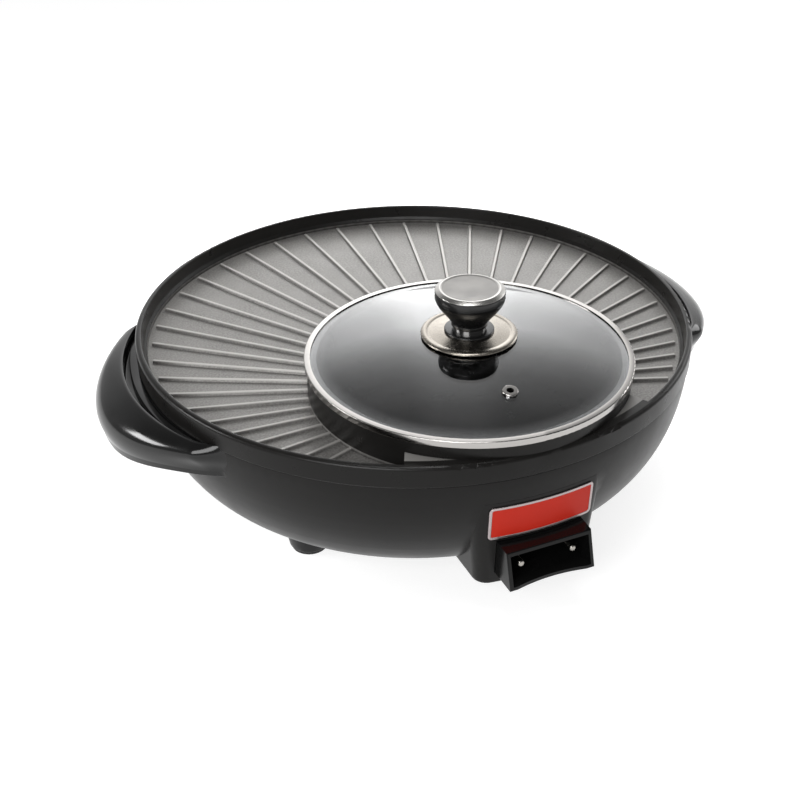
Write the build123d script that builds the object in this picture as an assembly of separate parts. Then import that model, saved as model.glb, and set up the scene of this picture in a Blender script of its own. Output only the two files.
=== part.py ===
from build123d import *
import math
import os

os.makedirs("parts", exist_ok=True)

# A round electric grill pan with a hot-pot well, a glass lid and a bowl-shaped housing.
# Millimetres, +Z up, ground at Z 0, socket at the front (-Y), handles along X.

# Clearances
FREE_GAP = 0.3
PIN_GAP = 0.05
SCREW_GAP = 0.3
OVERRUN = 1.0

# Pan casting
PAN_R = 200.0
BAND_H = 15.0
BAND_T = 4.5
RIM_ROUND = 3.0
RIM_INNER_ROUND = 1.0
GRILL_DEPTH = 14.0
PLATE_T = 4.0
WALL_DRAFT = 1.2
WALL_STEP = 1.8
WALL_STEP_DROP = 9.0
RIB_H = 1.8
RIB_FOOT_W = 3.4
RIB_TOP_W = 1.8
RIB_STEP_DEG = 6.0
RIB_PAIRS = 19
RIB_END_GAP = 6.5
ROOT_DEPTH = 1.0
BRIDGE_HALF_DEG = 26.0

# Hot-pot well in the pan
WELL_MOUTH_R = 103.5
WELL_WALL_T = 5.0
WELL_EDGE_INSET = 1.5
WELL_RISE = 8.0
WELL_BLOCK_GAP = 3.2
WELL_TAPER = 9.5
WELL_CORNER_R = 15.0
WELL_SKIN = 4.0
WELL_FLOOR_T = 5.0

# Housing bowl
FOOT_H = 22.0
BOWL_DEPTH = 87.0
BOWL_INSET = 1.0
BOWL_FLOOR_R = 145.0
HOUSING_T = 2.5
LIP_ROUND = 1.0

# Front console moulded into the housing
CONSOLE_PROUD = 0.1
CONSOLE_DRAFT = 3.5
CONSOLE_SIDE_GAP = 5.5
CONSOLE_SPREAD = 6.0
CONSOLE_CORNER_R = 10.0
CONSOLE_EDGE_R = 3.0
CONSOLE_LIFT = 3.0
CONSOLE_ROOT_GAP = 4.0

# Label plate
LABEL_SIDE_INSET = 9.8
LABEL_H = 25.0
LABEL_T = 0.8
LABEL_CORNER_R = 3.0
LABEL_TOP_DROP = 3.2
LABEL_HOOD_GAP = 2.5

# Socket guard and inlet
GUARD_W = 61.0
GUARD_H = 25.0
GUARD_LIFT = 10.0
GUARD_TOP_PROUD = 7.0
GUARD_LOW_PROUD = 14.5
GUARD_WALL = 2.5
GUARD_EDGE_R = 0.8
GUARD_SILL_DIP = 3.5
HOOD_RISE = 0.8
FLANGE_LIP = 5.0
FLANGE_T = 2.0
FLANGE_SETBACK = 5.0
BLOCK_T = 7.0
PIN_R = 2.4
PIN_SPACING = 37.5
PIN_RECESS = 1.0
PIN_TAIL_R = 1.8
PIN_TAIL = 6.0
PIN_CHAMFER = 0.4
PROBE_R = 4.5
PROBE_BORE_R = 3.8
PROBE_OUT = 3.0
PROBE_LENGTH = 68.0
INLET_SCREW_R = 1.25
INLET_HEAD_R = 2.3
INLET_HEAD_T = 1.6

# Handles
HANDLE_PROUD = 34.0
HANDLE_H = 33.0
HANDLE_TOP_DROP = 12.0
HANDLE_BULGE_R = 106.0
HANDLE_EDGE_PROUD = 13.0
HANDLE_EDGE_R = 157.0
HANDLE_EDGE_T = 2.0
HANDLE_SKIN = 5.0
HANDLE_HALF_DEG = 31.0
HANDLE_SEAT_GAP = 5.5
HANDLE_LEDGE_DROP = 6.0
HANDLE_TROUGH_DROP = 12.0
HANDLE_WEB = 5.0
HANDLE_ROOT_DEPTH = 50.0
HANDLE_LIP_STEP = 1.2
HANDLE_SCREW_DEG = 12.0
HANDLE_SCREW_DROP = 24.0
HANDLE_BOSS_R = 5.0
HANDLE_BOSS_REACH = 8.0
HANDLE_SCREW_R = 2.0
HANDLE_SCREW_L = 12.0
HANDLE_HEAD_R = 4.0
HANDLE_HEAD_T = 2.5

# Feet
FOOT_INSET = 10.0
FOOT_DEG = 33.0
FOOT_TOP_R = 18.0
FOOT_END_R = 14.0
FOOT_ROUND = 1.5
PAD_T = 2.5
PAD_R = 12.5
FOOT_BORE_R = 5.5
FOOT_SEAT_H = 10.0
FOOT_SCREW_R = 2.0
FOOT_HEAD_R = 4.0
FOOT_HEAD_T = 2.5
NUT_T = 3.5
NUT_R = 4.2

# Bottom cover
COVER_GAP = 9.0
COVER_LAP = 10.0
COVER_T = 1.5
COVER_SLOTS = 18
COVER_SLOT_MARGIN = 15.0
COVER_SLOT_L = 30.0
COVER_SLOT_W = 3.0
COVER_SCREWS = 4
COVER_SCREW_R = 1.5
COVER_HEAD_R = 3.0
COVER_HEAD_T = 1.8
COVER_SCREW_L = 7.0

# Tie rods between pan and housing, with their spacers and the reflector they carry
ROD_BACK_INSET = 20.0
ROD_ELEMENT_GAP = 19.5
ROD_SIDE_DEG = 57.6
ROD_R = 2.5
ROD_BOSS_R = 7.0
ROD_BOSS_H = 8.0
ROD_TIP_GAP = 1.5
SPACER_R = 5.0
WASHER_R = 6.0
WASHER_T = 1.0
ROD_TAIL = 1.5
REFLECTOR_WELL_GAP = 12.5
REFLECTOR_OUT = 5.0
REFLECTOR_TAIL_GAP = 2.0
REFLECTOR_LIP = 7.0
REFLECTOR_T = 1.0

# Heating element and its clips
ELEMENT_R = 3.5
ELEMENT_WELL_GAP = 19.5
ELEMENT_HALF_DEG = 100.0
ELEMENT_BEND_R = 12.0
ELEMENT_LEG = 14.0
CLIP_ANGLES_DEG = (-72.0, 0.0, 72.0)
CLIP_T = 1.2
CLIP_W = 9.0
CLIP_FOOT = 9.0
CLIP_BOSS_R = 4.0
CLIP_BOSS_H = 3.5
CLIP_SCREW_R = 1.5
CLIP_SCREW_L = 5.5
CLIP_HEAD_R = 2.8
CLIP_HEAD_T = 1.8

# Power leads
LEAD_R = 1.5
LEAD_BEND_R = 8.0
LEAD_START = 16.0
LEAD_SAG = 8.0
LEAD_RISE = 7.0
LEAD_TURN_LIFT = 4.4

# Lid
LID_GAP = 0.2
LID_RIM_OUT = 1.5
LID_RIM_H = 4.8
LID_RIM_T = 0.6
LID_RIM_LAND = 4.0
COLLAR_GAP = 1.5
COLLAR_H = 4.0
COLLAR_T = 0.8
GLASS_T = 4.0
GLASS_EDGE_GAP = 0.1
DOME_EDGE = 5.0
DOME_RISE = 15.0
VENT_DISTANCE = 69.0
VENT_TURN_DEG = 5.0
VENT_HOLE_R = 4.0
VENT_BORE_R = 2.4
VENT_FLANGE_R = 5.2
VENT_FLANGE_T = 1.2

# Knob stack on the lid
SHANK_R = 2.5
GASKET_R = 15.0
GASKET_H = 1.2
SKIRT_R = 32.2
SKIRT_T = 1.0
SKIRT_TOP_R = 17.5
SKIRT_BEAD_R = 27.5
SKIRT_CREST_R = 30.4
SKIRT_DISH_FALL = 0.9
SKIRT_CREST_RISE = 0.3
SKIRT_FALL = 1.6
BASE_R = 16.6
BASE_H = 1.7
BASE_ROUND = 0.7
NECK_R = 10.8
NECK_H = 2.5
KNOB_FOOT_R = 12.0
KNOB_FOOT_H = 2.4
KNOB_R = 23.1
KNOB_H = 26.7
KNOB_BROW_DROP = 7.0
CAP_R = 22.9
CAP_T = 1.8
CAP_EDGE_H = 0.4
CAP_BEVEL = 2.7
CAP_LAND = 0.5
CAP_DISH = 0.4
CAP_SPIGOT_R = 14.0
CAP_SPIGOT_H = 1.0
SCREW_BITE = 12.0
SEAL_R = 9.0
SEAL_T = 1.6
LID_WASHER_R = 8.0
LID_WASHER_T = 1.0
LID_HEAD_R = 4.5
LID_HEAD_T = 3.0

# Heights worked out from the sizes above
BOWL_TOP = FOOT_H + BOWL_DEPTH
RIM_Z = BOWL_TOP + BAND_H
GRILL_Z = RIM_Z - GRILL_DEPTH
PLATE_Z = GRILL_Z - PLATE_T
WELL_TOP = RIM_Z + WELL_RISE
HOUSING_FLOOR = FOOT_H + HOUSING_T

# Radii and places in plan worked out from the sizes above
RIM_R = PAN_R - BAND_T
WELL_WALL_R = WELL_MOUTH_R + WELL_WALL_T
WELL_OFFSET = PAN_R - WELL_WALL_R - WELL_EDGE_INSET
BOWL_R = PAN_R - BOWL_INSET
FOOT_PLACE_R = BOWL_FLOOR_R - FOOT_INSET
FLANGE_HALF_W = GUARD_W / 2 + FLANGE_LIP
CONSOLE_LOW_HALF_W = FLANGE_HALF_W + CONSOLE_SIDE_GAP
CONSOLE_TOP_HALF_W = CONSOLE_LOW_HALF_W + CONSOLE_SPREAD
LABEL_W = 2 * (CONSOLE_TOP_HALF_W - LABEL_SIDE_INSET)
GUARD_TOP_REACH = PAN_R + GUARD_TOP_PROUD
GUARD_LOW_REACH = PAN_R + GUARD_LOW_PROUD
PIN_REACH = GUARD_TOP_REACH - PIN_RECESS
HANDLE_REACH = PAN_R + HANDLE_PROUD
HANDLE_EDGE_REACH = PAN_R + HANDLE_EDGE_PROUD
HANDLE_BULGE_CENTRE = HANDLE_REACH - HANDLE_BULGE_R
HANDLE_EDGE_CENTRE = HANDLE_EDGE_REACH - HANDLE_EDGE_R
HANDLE_SEAT_R = PAN_R + HANDLE_SEAT_GAP
HANDLE_ROOT = PAN_R - HANDLE_ROOT_DEPTH
ELEMENT_LOOP_R = WELL_WALL_R + ELEMENT_WELL_GAP
LID_RIM_R = WELL_WALL_R + LID_RIM_OUT
COLLAR_R = WELL_MOUTH_R - COLLAR_GAP
DOME_R = LID_RIM_R - DOME_EDGE
QUARTER_TURN = 90.0

# The part's origin is the middle of its footprint, so the pan's axis stands a little behind it.
AXIS_Y = (GUARD_LOW_REACH - PAN_R) / 2


def outline(points, rounds=()):
    """A closed flat outline; rounds lists (corner number, radius) of the corners to round."""
    face = make_face(Polyline(*points, close=True))
    for corner, radius in rounds:
        near = face.vertices().sort_by_distance(Vector(*points[corner]))[:1]
        face = fillet(near, radius)
    return face


def turned(face):
    """The solid that a half section of radius and height makes round an upright axis."""
    return revolve(Plane.XZ * face, Axis.Z)


def drum(radius, low, high):
    """An upright cylinder between two heights."""
    return Pos(0, 0, low) * Cylinder(radius, high - low, align=(Align.CENTER, Align.CENTER, Align.MIN))


def tube(outer, inner, low, high):
    """An upright tube between two heights."""
    return drum(outer, low, high) - drum(inner, low - OVERRUN, high + OVERRUN)


def box(low, high):
    """A block between its lowest and highest corners."""
    size = [b - a for a, b in zip(low, high)]
    return Pos(*low) * Box(*size, align=(Align.MIN, Align.MIN, Align.MIN))


def polar(radius, degrees):
    """A point at a radius and an angle about the pan's axis."""
    return radius * math.cos(math.radians(degrees)), radius * math.sin(math.radians(degrees))


def at_polar(shape, radius, degrees):
    """A copy of a shape moved out from the pan's axis, unturned."""
    x, y = polar(radius, degrees)
    return Pos(x, y, 0) * shape


def at_well(shape):
    """A shape moved from the pan's axis to the well's."""
    return Pos(0, -WELL_OFFSET, 0) * shape


def sector(half_deg, reach, low, high):
    """An upright wedge about +X, from the pan's axis out to a reach."""
    x, y = polar(reach, half_deg)
    return Pos(0, 0, low) * extrude(outline([(0, 0), (x, -y), (x, y)]), high - low)


def export(name, shape):
    """Writes one piece, or one group of like pieces, in the part's own frame."""
    solids = [s for part in (shape if isinstance(shape, list) else [shape]) for s in part.solids()]
    moved = [Pos(0, AXIS_Y, 0) * s for s in solids]
    export_step(moved[0] if len(moved) == 1 else Compound(children=moved), f"parts/{name}.step")


# Housing bowl: its outside is a quarter ellipse from the floor's edge up to the lip
def bowl_radius(height, inset=0.0):
    """Radius of the bowl's outside at a height, or of its inside with the wall as inset."""
    drop = (BOWL_TOP - height) / (BOWL_DEPTH - inset)
    return BOWL_FLOOR_R - inset + (BOWL_R - BOWL_FLOOR_R) * math.sqrt(max(0.0, 1 - drop**2))


def bowl_solid(inset, top):
    """The bowl filled up to a height at or over its lip, smaller by an inset, or larger if negative."""
    floor_r = BOWL_FLOOR_R - inset
    floor_z = FOOT_H + inset
    lip = (BOWL_R - inset, BOWL_TOP)
    reach, depth = BOWL_R - BOWL_FLOOR_R, BOWL_TOP - floor_z
    arc = EllipticalCenterArc((floor_r, BOWL_TOP), reach, depth, -QUARTER_TURN, arc_size=QUARTER_TURN)
    floor = Polyline((0, floor_z), (floor_r, floor_z))
    above = [(BOWL_R - inset, top)] if top > BOWL_TOP else []
    side = Polyline(lip, *above, (0, top), (0, floor_z))
    return turned(make_face(floor + arc + side))


CONSOLE_LOW = FOOT_H + CONSOLE_LIFT
CONSOLE_FLOOR = CONSOLE_LOW + HOUSING_T
GUARD_LOW = CONSOLE_LOW + GUARD_LIFT
GUARD_TOP = GUARD_LOW + GUARD_H
HOOD_TOP = GUARD_TOP + HOOD_RISE
CONSOLE_TOP = HOOD_TOP + LABEL_HOOD_GAP + LABEL_H + LABEL_TOP_DROP
CONSOLE_H = CONSOLE_TOP - CONSOLE_LOW
CONSOLE_TOP_R = bowl_radius(CONSOLE_TOP) + CONSOLE_PROUD
CONSOLE_LOW_R = CONSOLE_TOP_R - CONSOLE_DRAFT


def console_front(height):
    """Radius of the console's front at a height; it draws in towards the bottom."""
    share = (height - CONSOLE_LOW) / CONSOLE_H
    return CONSOLE_LOW_R + (CONSOLE_TOP_R - CONSOLE_LOW_R) * share


def console_half_width(height):
    """Half of the console's width at a height; it draws in towards the bottom."""
    share = (height - CONSOLE_LOW) / CONSOLE_H
    return CONSOLE_LOW_HALF_W + (CONSOLE_TOP_HALF_W - CONSOLE_LOW_HALF_W) * share


def console_plan(inset, height):
    """The console's outline at a height, smaller by an inset; its front is an arc about the pan."""
    half = console_half_width(height) - inset
    front = console_front(height) - inset
    root = COVER_R + CONSOLE_ROOT_GAP + inset
    plan = Circle(front) & Pos(0, -(front + root) / 2) * Rectangle(2 * half, front - root)
    corners = plan.vertices().group_by(Axis.Y)[0]
    return Pos(0, 0, height) * fillet(corners, CONSOLE_CORNER_R - inset)


def console_solid(inset, low, high):
    """The console between two heights, smaller by an inset."""
    return loft([console_plan(inset, low), console_plan(inset, high)], ruled=True)


FLANGE_LOW = GUARD_LOW - FLANGE_LIP
FLANGE_TOP = HOOD_TOP + FLANGE_LIP
FLANGE_FRONT = console_front(FLANGE_LOW) - HOUSING_T - FLANGE_SETBACK
FLANGE_BACK = FLANGE_FRONT - FLANGE_T
BLOCK_BACK = FLANGE_BACK - BLOCK_T
PIN_Z = GUARD_LOW + GUARD_H / 2
PIN_BACK = BLOCK_BACK - PIN_TAIL
WELL_FLOOR = FLANGE_TOP + WELL_BLOCK_GAP + WELL_FLOOR_T
WELL_DEPTH = WELL_TOP - WELL_FLOOR
REFLECTOR_Z = WELL_FLOOR - WELL_FLOOR_T - REFLECTOR_WELL_GAP
REFLECTOR_LIP_OUT = REFLECTOR_LIP / 2
REFLECTOR_R = min(BOWL_FLOOR_R + REFLECTOR_OUT, PIN_BACK - REFLECTOR_LIP_OUT - REFLECTOR_TAIL_GAP)
ROD_BACK_R = min(BOWL_FLOOR_R, REFLECTOR_R) - ROD_BACK_INSET
HANDLE_TOP = RIM_Z - HANDLE_TOP_DROP
HANDLE_LOW = HANDLE_TOP - HANDLE_H
HANDLE_SCREW_Z = HANDLE_TOP - HANDLE_SCREW_DROP
HANDLE_SIDES = {"right_handle": 0.0, "left_handle": 180.0}
FOOT_ANGLES_DEG = (FOOT_DEG, 180 - FOOT_DEG, 180 + FOOT_DEG, 360 - FOOT_DEG)


def well_polar(radius, back_deg):
    """A point at a radius about the well's axis and a turn from straight back."""
    turn = math.radians(back_deg)
    return radius * math.sin(turn), -WELL_OFFSET + radius * math.cos(turn)


def side_rod(side):
    """Plan place of the tie rod at one side of the element."""
    return well_polar(ELEMENT_LOOP_R + ROD_ELEMENT_GAP, side * ROD_SIDE_DEG)


def at_rods(shape):
    """A copy of a shape at every tie rod: one far back and one each side of the element."""
    places = [(0, ROD_BACK_R), side_rod(-1), side_rod(1)]
    return [Pos(x, y, 0) * shape for x, y in places]


# The bottom cover fills the floor as far as the feet and the rods let it
COVER_LOW = FOOT_H - COVER_T
ROD_NEAR_R = min(ROD_BACK_R, math.hypot(*side_rod(1)))
COVER_R = min(FOOT_PLACE_R - FOOT_TOP_R, ROD_NEAR_R - WASHER_R) - COVER_GAP
FLOOR_HOLE_R = COVER_R - COVER_LAP
COVER_SCREW_PLACE_R = (FLOOR_HOLE_R + COVER_R) / 2 + COVER_SCREW_R
COVER_SLOT_PLACE_R = FLOOR_HOLE_R - COVER_SLOT_MARGIN - COVER_SLOT_L / 2


def handle_screw_places():
    """Turns about the pan's axis at which the handle screws stand."""
    return [side + sign * HANDLE_SCREW_DEG for side in HANDLE_SIDES.values() for sign in (-1, 1)]


def radial_bar(radius, near, far, height, degrees):
    """A round bar that points out from the pan's axis at a height."""
    bar = Cylinder(radius, far - near, align=(Align.CENTER, Align.CENTER, Align.MIN))
    return Rot(0, 0, degrees) * Pos(near, 0, height) * Rot(0, 90, 0) * bar


def cover_screw_places():
    """Angles of the bottom cover's screws."""
    return [360 / COVER_SCREWS * (n + 0.5) for n in range(COVER_SCREWS)]


def make_housing():
    """Bowl and console as one thin shell, with its openings and screw holes."""
    console = console_solid(0, CONSOLE_LOW, CONSOLE_TOP)
    bottom_edges = console.edges().group_by(Axis.Z)[0]
    front_edges = bottom_edges.sort_by(Axis.Y)[:-1]
    shell = bowl_solid(0, BOWL_TOP) + fillet(front_edges, CONSOLE_EDGE_R)
    hollow = bowl_solid(HOUSING_T, BOWL_TOP + OVERRUN)
    hollow += console_solid(HOUSING_T, CONSOLE_FLOOR, CONSOLE_TOP - HOUSING_T)
    shell = shell - hollow - drum(FLOOR_HOLE_R, 0, HOUSING_FLOOR + OVERRUN)
    lip = shell.edges().filter_by(GeomType.CIRCLE).group_by(Axis.Z)[-1]
    shell = fillet(max(lip, key=lambda edge: edge.radius), LIP_ROUND)
    mouth = box(
        (-GUARD_W / 2 - FREE_GAP, -GUARD_TOP_REACH, GUARD_LOW - FREE_GAP),
        (GUARD_W / 2 + FREE_GAP, -FLANGE_FRONT, HOOD_TOP + FREE_GAP),
    )
    holes = [mouth]
    for degrees in handle_screw_places():
        far = BOWL_R + OVERRUN
        near = BOWL_FLOOR_R
        holes.append(radial_bar(HANDLE_SCREW_R + SCREW_GAP, near, far, HANDLE_SCREW_Z, degrees))
    for degrees in FOOT_ANGLES_DEG:
        hole = drum(FOOT_SCREW_R + SCREW_GAP, 0, HOUSING_FLOOR + OVERRUN)
        holes.append(at_polar(hole, FOOT_PLACE_R, degrees))
    holes += at_rods(drum(ROD_R + SCREW_GAP, 0, HOUSING_FLOOR + OVERRUN))
    for degrees in cover_screw_places():
        hole = drum(COVER_SCREW_R + PIN_GAP, 0, HOUSING_FLOOR + OVERRUN)
        holes.append(at_polar(hole, COVER_SCREW_PLACE_R, degrees))
    return shell - holes


# Pan casting
def well_radius(height):
    """Radius of the well's tapered bore at a height above its rounded corner."""
    run = WELL_DEPTH - WELL_CORNER_R
    return WELL_MOUTH_R - WELL_TAPER * (WELL_TOP - height) / run


def well_section(skin, floor_t, top):
    """Half section of the well's bore, or of its outside when a skin is added."""
    low = WELL_FLOOR - floor_t
    foot = well_radius(WELL_FLOOR + WELL_CORNER_R) + skin
    mouth = well_radius(top) + skin
    corner = WELL_CORNER_R + skin
    points = [(0, low), (foot, low), (foot, WELL_FLOOR + WELL_CORNER_R), (mouth, top), (0, top)]
    return outline(points, [(1, corner - PIN_GAP)])


def pan_section():
    """Half section of the grill plate with its rim and the band below the rim."""
    step_z = RIM_Z - WALL_STEP_DROP
    points = [
        (0, PLATE_Z),
        (RIM_R, PLATE_Z),
        (RIM_R, BOWL_TOP),
        (PAN_R, BOWL_TOP),
        (PAN_R, RIM_Z),
        (RIM_R, RIM_Z),
        (RIM_R - WALL_DRAFT, step_z),
        (RIM_R - WALL_DRAFT - WALL_STEP, step_z - WALL_STEP),
        (RIM_R - WALL_DRAFT - WALL_STEP, GRILL_Z),
        (0, GRILL_Z),
    ]
    return outline(points, [(4, RIM_ROUND), (5, RIM_INNER_ROUND), (3, LIP_ROUND)])


def rib(turn_deg):
    """One grill rib, from the well's wall out to just short of the rim."""
    turn = math.radians(turn_deg)
    start = WELL_WALL_R - ROOT_DEPTH
    reach = RIM_R - RIB_END_GAP
    along = WELL_OFFSET * math.cos(turn)
    end = along + math.sqrt(along**2 - WELL_OFFSET**2 + reach**2)
    half_foot = RIB_FOOT_W / 2
    half_top = RIB_TOP_W / 2
    section = outline([
        (-half_foot, -ROOT_DEPTH),
        (half_foot, -ROOT_DEPTH),
        (half_foot, 0),
        (half_top, RIB_H),
        (-half_top, RIB_H),
        (-half_foot, 0),
    ])
    lane = Plane(origin=(0, start, GRILL_Z), x_dir=(-1, 0, 0), z_dir=(0, 1, 0))
    bar = extrude(lane * section, end - start)
    return at_well(Rot(0, 0, -turn_deg) * bar)


def rib_turns():
    """Turns of the ribs from straight back, in pairs to both sides."""
    turns = [RIB_STEP_DEG * (n + 0.5) for n in range(RIB_PAIRS)]
    return [sign * turn for turn in turns for sign in (-1, 1)]


def make_bridge():
    """The flat land that joins the well's wall to the rim at the front."""
    inner = RIM_R + BAND_T / 2
    x, y = polar(PAN_R * 2, 90 - BRIDGE_HALF_DEG)
    wedge = make_face(Polyline((0, 0), (x, -y), (-x, -y), close=True))
    ring = Circle(inner) - Pos(0, -WELL_OFFSET) * Circle(WELL_WALL_R - ROOT_DEPTH)
    return Pos(0, 0, GRILL_Z - ROOT_DEPTH) * extrude(ring & wedge, GRILL_DEPTH + ROOT_DEPTH)


def make_pan():
    """Plate, well wall, bridge, ribs and bosses, with the well's bore cut through last."""
    body = turned(pan_section())
    under_top = PLATE_Z + ROOT_DEPTH
    body += at_well(turned(well_section(WELL_SKIN, WELL_FLOOR_T, under_top)))
    body += at_well(drum(WELL_WALL_R, (BOWL_TOP + GRILL_Z) / 2, WELL_TOP))
    body += make_bridge()
    bosses = at_rods(drum(ROD_BOSS_R, PLATE_Z - ROD_BOSS_H, PLATE_Z + ROOT_DEPTH))
    for x, y in clip_boss_places():
        bosses.append(Pos(x, y, 0) * drum(CLIP_BOSS_R, PLATE_Z - CLIP_BOSS_H, PLATE_Z + ROOT_DEPTH))
    body = body + bosses + [rib(turn) for turn in rib_turns()]
    body -= at_well(turned(well_section(0, 0, WELL_TOP + OVERRUN)))
    holes = at_rods(drum(ROD_R + PIN_GAP, PLATE_Z - ROD_BOSS_H - OVERRUN, GRILL_Z - PLATE_T / 2))
    for x, y in clip_boss_places():
        low = PLATE_Z - CLIP_BOSS_H - OVERRUN
        holes.append(Pos(x, y, 0) * drum(CLIP_SCREW_R + PIN_GAP, low, GRILL_Z - PLATE_T / 2))
    return body - holes


# Heating element: a horseshoe round the well under the grill plate, with both ends turned down
ELEMENT_Z = PLATE_Z - FREE_GAP - ELEMENT_R


def element_end(side):
    """Plan place of a downturned end of the element."""
    x, y = well_polar(ELEMENT_LOOP_R, side * ELEMENT_HALF_DEG)
    turn = math.radians(side * ELEMENT_HALF_DEG)
    return x + side * ELEMENT_BEND_R * math.cos(turn), y - side * ELEMENT_BEND_R * math.sin(turn)


def element_leg(side):
    """The bend and the straight leg at one end of the element, as path edges from the arc down."""
    x, y = well_polar(ELEMENT_LOOP_R, side * ELEMENT_HALF_DEG)
    end_x, end_y = element_end(side)
    share = math.sin(math.radians(45))
    middle = (x + (end_x - x) * share, y + (end_y - y) * share, ELEMENT_Z - ELEMENT_BEND_R * (1 - share))
    low = ELEMENT_Z - ELEMENT_BEND_R
    bend = Edge.make_three_point_arc((x, y, ELEMENT_Z), middle, (end_x, end_y, low))
    leg = Edge.make_line((end_x, end_y, low), (end_x, end_y, low - ELEMENT_LEG))
    return bend, leg


def make_element():
    """A round tube swept along the horseshoe."""
    turns = (-ELEMENT_HALF_DEG, 0, ELEMENT_HALF_DEG)
    points = [(*well_polar(ELEMENT_LOOP_R, turn), ELEMENT_Z) for turn in turns]
    arc = Edge.make_three_point_arc(*points)
    left_bend, left_leg = element_leg(-1)
    right_bend, right_leg = element_leg(1)
    path = Wire([left_leg, left_bend, arc, right_bend, right_leg])
    x, y = element_end(-1)
    low = ELEMENT_Z - ELEMENT_BEND_R - ELEMENT_LEG
    return sweep(Plane(origin=(x, y, low), z_dir=(0, 0, 1)) * Circle(ELEMENT_R), path=path)


def clip_boss_places():
    """Plan places of the clip bosses, one each side of the element at every clip."""
    away = ELEMENT_R + FREE_GAP + CLIP_T + CLIP_FOOT / 2
    return [well_polar(ELEMENT_LOOP_R + side * away, turn) for turn in CLIP_ANGLES_DEG for side in (-1, 1)]


def make_clips():
    """Straps bent round the element, with a flat foot on a boss at each side."""
    arch = ELEMENT_R + FREE_GAP
    foot_z = PLATE_Z - CLIP_BOSS_H
    reach = arch + CLIP_T + CLIP_FOOT
    outer = Pos(0, ELEMENT_Z) * Circle(arch + CLIP_T)
    outer += Pos(0, (ELEMENT_Z + foot_z) / 2) * Rectangle(2 * (arch + CLIP_T), foot_z - ELEMENT_Z)
    feet = Pos(0, foot_z - CLIP_T / 2) * Rectangle(2 * reach, CLIP_T)
    inner = Pos(0, ELEMENT_Z) * Circle(arch)
    inner += Pos(0, ELEMENT_Z + reach / 2) * Rectangle(2 * arch, reach)
    below = Pos(0, foot_z - reach) * Rectangle(2 * reach, 2 * reach)
    section = ((outer + feet) & below) - inner
    clips = []
    for turn in CLIP_ANGLES_DEG:
        x, y = well_polar(ELEMENT_LOOP_R, turn)
        lane = Plane(origin=(0, -CLIP_W / 2, 0), x_dir=(-1, 0, 0), z_dir=(0, 1, 0))
        strap = extrude(lane * section, CLIP_W)
        strap = Pos(x, y, 0) * Rot(0, 0, 90 - turn) * strap
        clips.append(strap)
    hole = drum(CLIP_SCREW_R + PIN_GAP, foot_z - CLIP_T - OVERRUN, foot_z + OVERRUN)
    holes = [Pos(x, y, 0) * hole for x, y in clip_boss_places()]
    return [clip - holes for clip in clips]


def screw_up(shank_r, head_r, head_t, length, seat_z):
    """A screw driven upwards: its head hangs below the seat and its shank stands above it."""
    return drum(head_r, seat_z - head_t, seat_z) + drum(shank_r, seat_z - head_t / 2, seat_z + length)


def make_clip_screws():
    """One screw up through each clip foot."""
    seat = PLATE_Z - CLIP_BOSS_H - CLIP_T
    screw = screw_up(CLIP_SCREW_R, CLIP_HEAD_R, CLIP_HEAD_T, CLIP_SCREW_L, seat)
    return [Pos(x, y, 0) * screw for x, y in clip_boss_places()]


def make_reflector():
    """A flat sheet dish with an upturned lip, pierced for the tie rods."""
    lip = REFLECTOR_LIP
    points = [
        (0, REFLECTOR_Z),
        (REFLECTOR_R, REFLECTOR_Z),
        (REFLECTOR_R + REFLECTOR_LIP_OUT, REFLECTOR_Z + lip),
        (REFLECTOR_R + REFLECTOR_LIP_OUT - REFLECTOR_T, REFLECTOR_Z + lip),
        (REFLECTOR_R - REFLECTOR_T, REFLECTOR_Z + REFLECTOR_T),
        (0, REFLECTOR_Z + REFLECTOR_T),
    ]
    dish = turned(outline(points))
    hole = drum(ROD_R + SCREW_GAP, REFLECTOR_Z - OVERRUN, REFLECTOR_Z + REFLECTOR_T + OVERRUN)
    return dish - at_rods(hole)


def hex_nut(low, across_r, thick, bore_r):
    """A hexagon nut standing on a height."""
    ring = RegularPolygon(across_r, 6) - Circle(bore_r)
    return Pos(0, 0, low) * extrude(ring, thick)


# Handles
# Shares of the handle's height, with the shares of the outward reach and of the shift of the
# outline's centre from the top edge's to the bulge's.
HANDLE_PROFILE_SHARES = (
    (0.18, 0.93, 1.0),
    (0.34, 0.99, 1.0),
    (0.50, 0.97, 0.92),
    (0.68, 0.82, 0.70),
    (0.85, 0.50, 0.38),
    (1.0, 0.0, 0.0),
)


def handle_plan(centre, reach):
    """A D-shaped outline: an arc about a centre on the X axis, cut off inside the bowl."""
    disc = Pos(centre, 0) * Circle(reach - centre)
    keep = Pos(HANDLE_ROOT + reach / 2, 0) * Rectangle(reach, 2 * reach)
    return disc & keep


def handle_layers():
    """The stacked outlines of the handle's outside."""
    spread = HANDLE_REACH - HANDLE_EDGE_REACH
    shift = HANDLE_BULGE_CENTRE - HANDLE_EDGE_CENTRE
    layers = []
    for height_share, reach_share, shift_share in HANDLE_PROFILE_SHARES:
        centre = HANDLE_EDGE_CENTRE + shift * shift_share
        plan = handle_plan(centre, HANDLE_EDGE_REACH + spread * reach_share)
        layers.append(Pos(0, 0, HANDLE_LOW + HANDLE_H * height_share) * plan)
    return layers


def handle_lip(high):
    """The upright lip under the bulge."""
    spread = HANDLE_REACH - HANDLE_EDGE_REACH
    reach = HANDLE_EDGE_REACH + spread * HANDLE_PROFILE_SHARES[0][1] - HANDLE_LIP_STEP
    plan = handle_plan(HANDLE_BULGE_CENTRE, reach)
    return Pos(0, 0, HANDLE_LOW) * extrude(plan, high - HANDLE_LOW)


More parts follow.
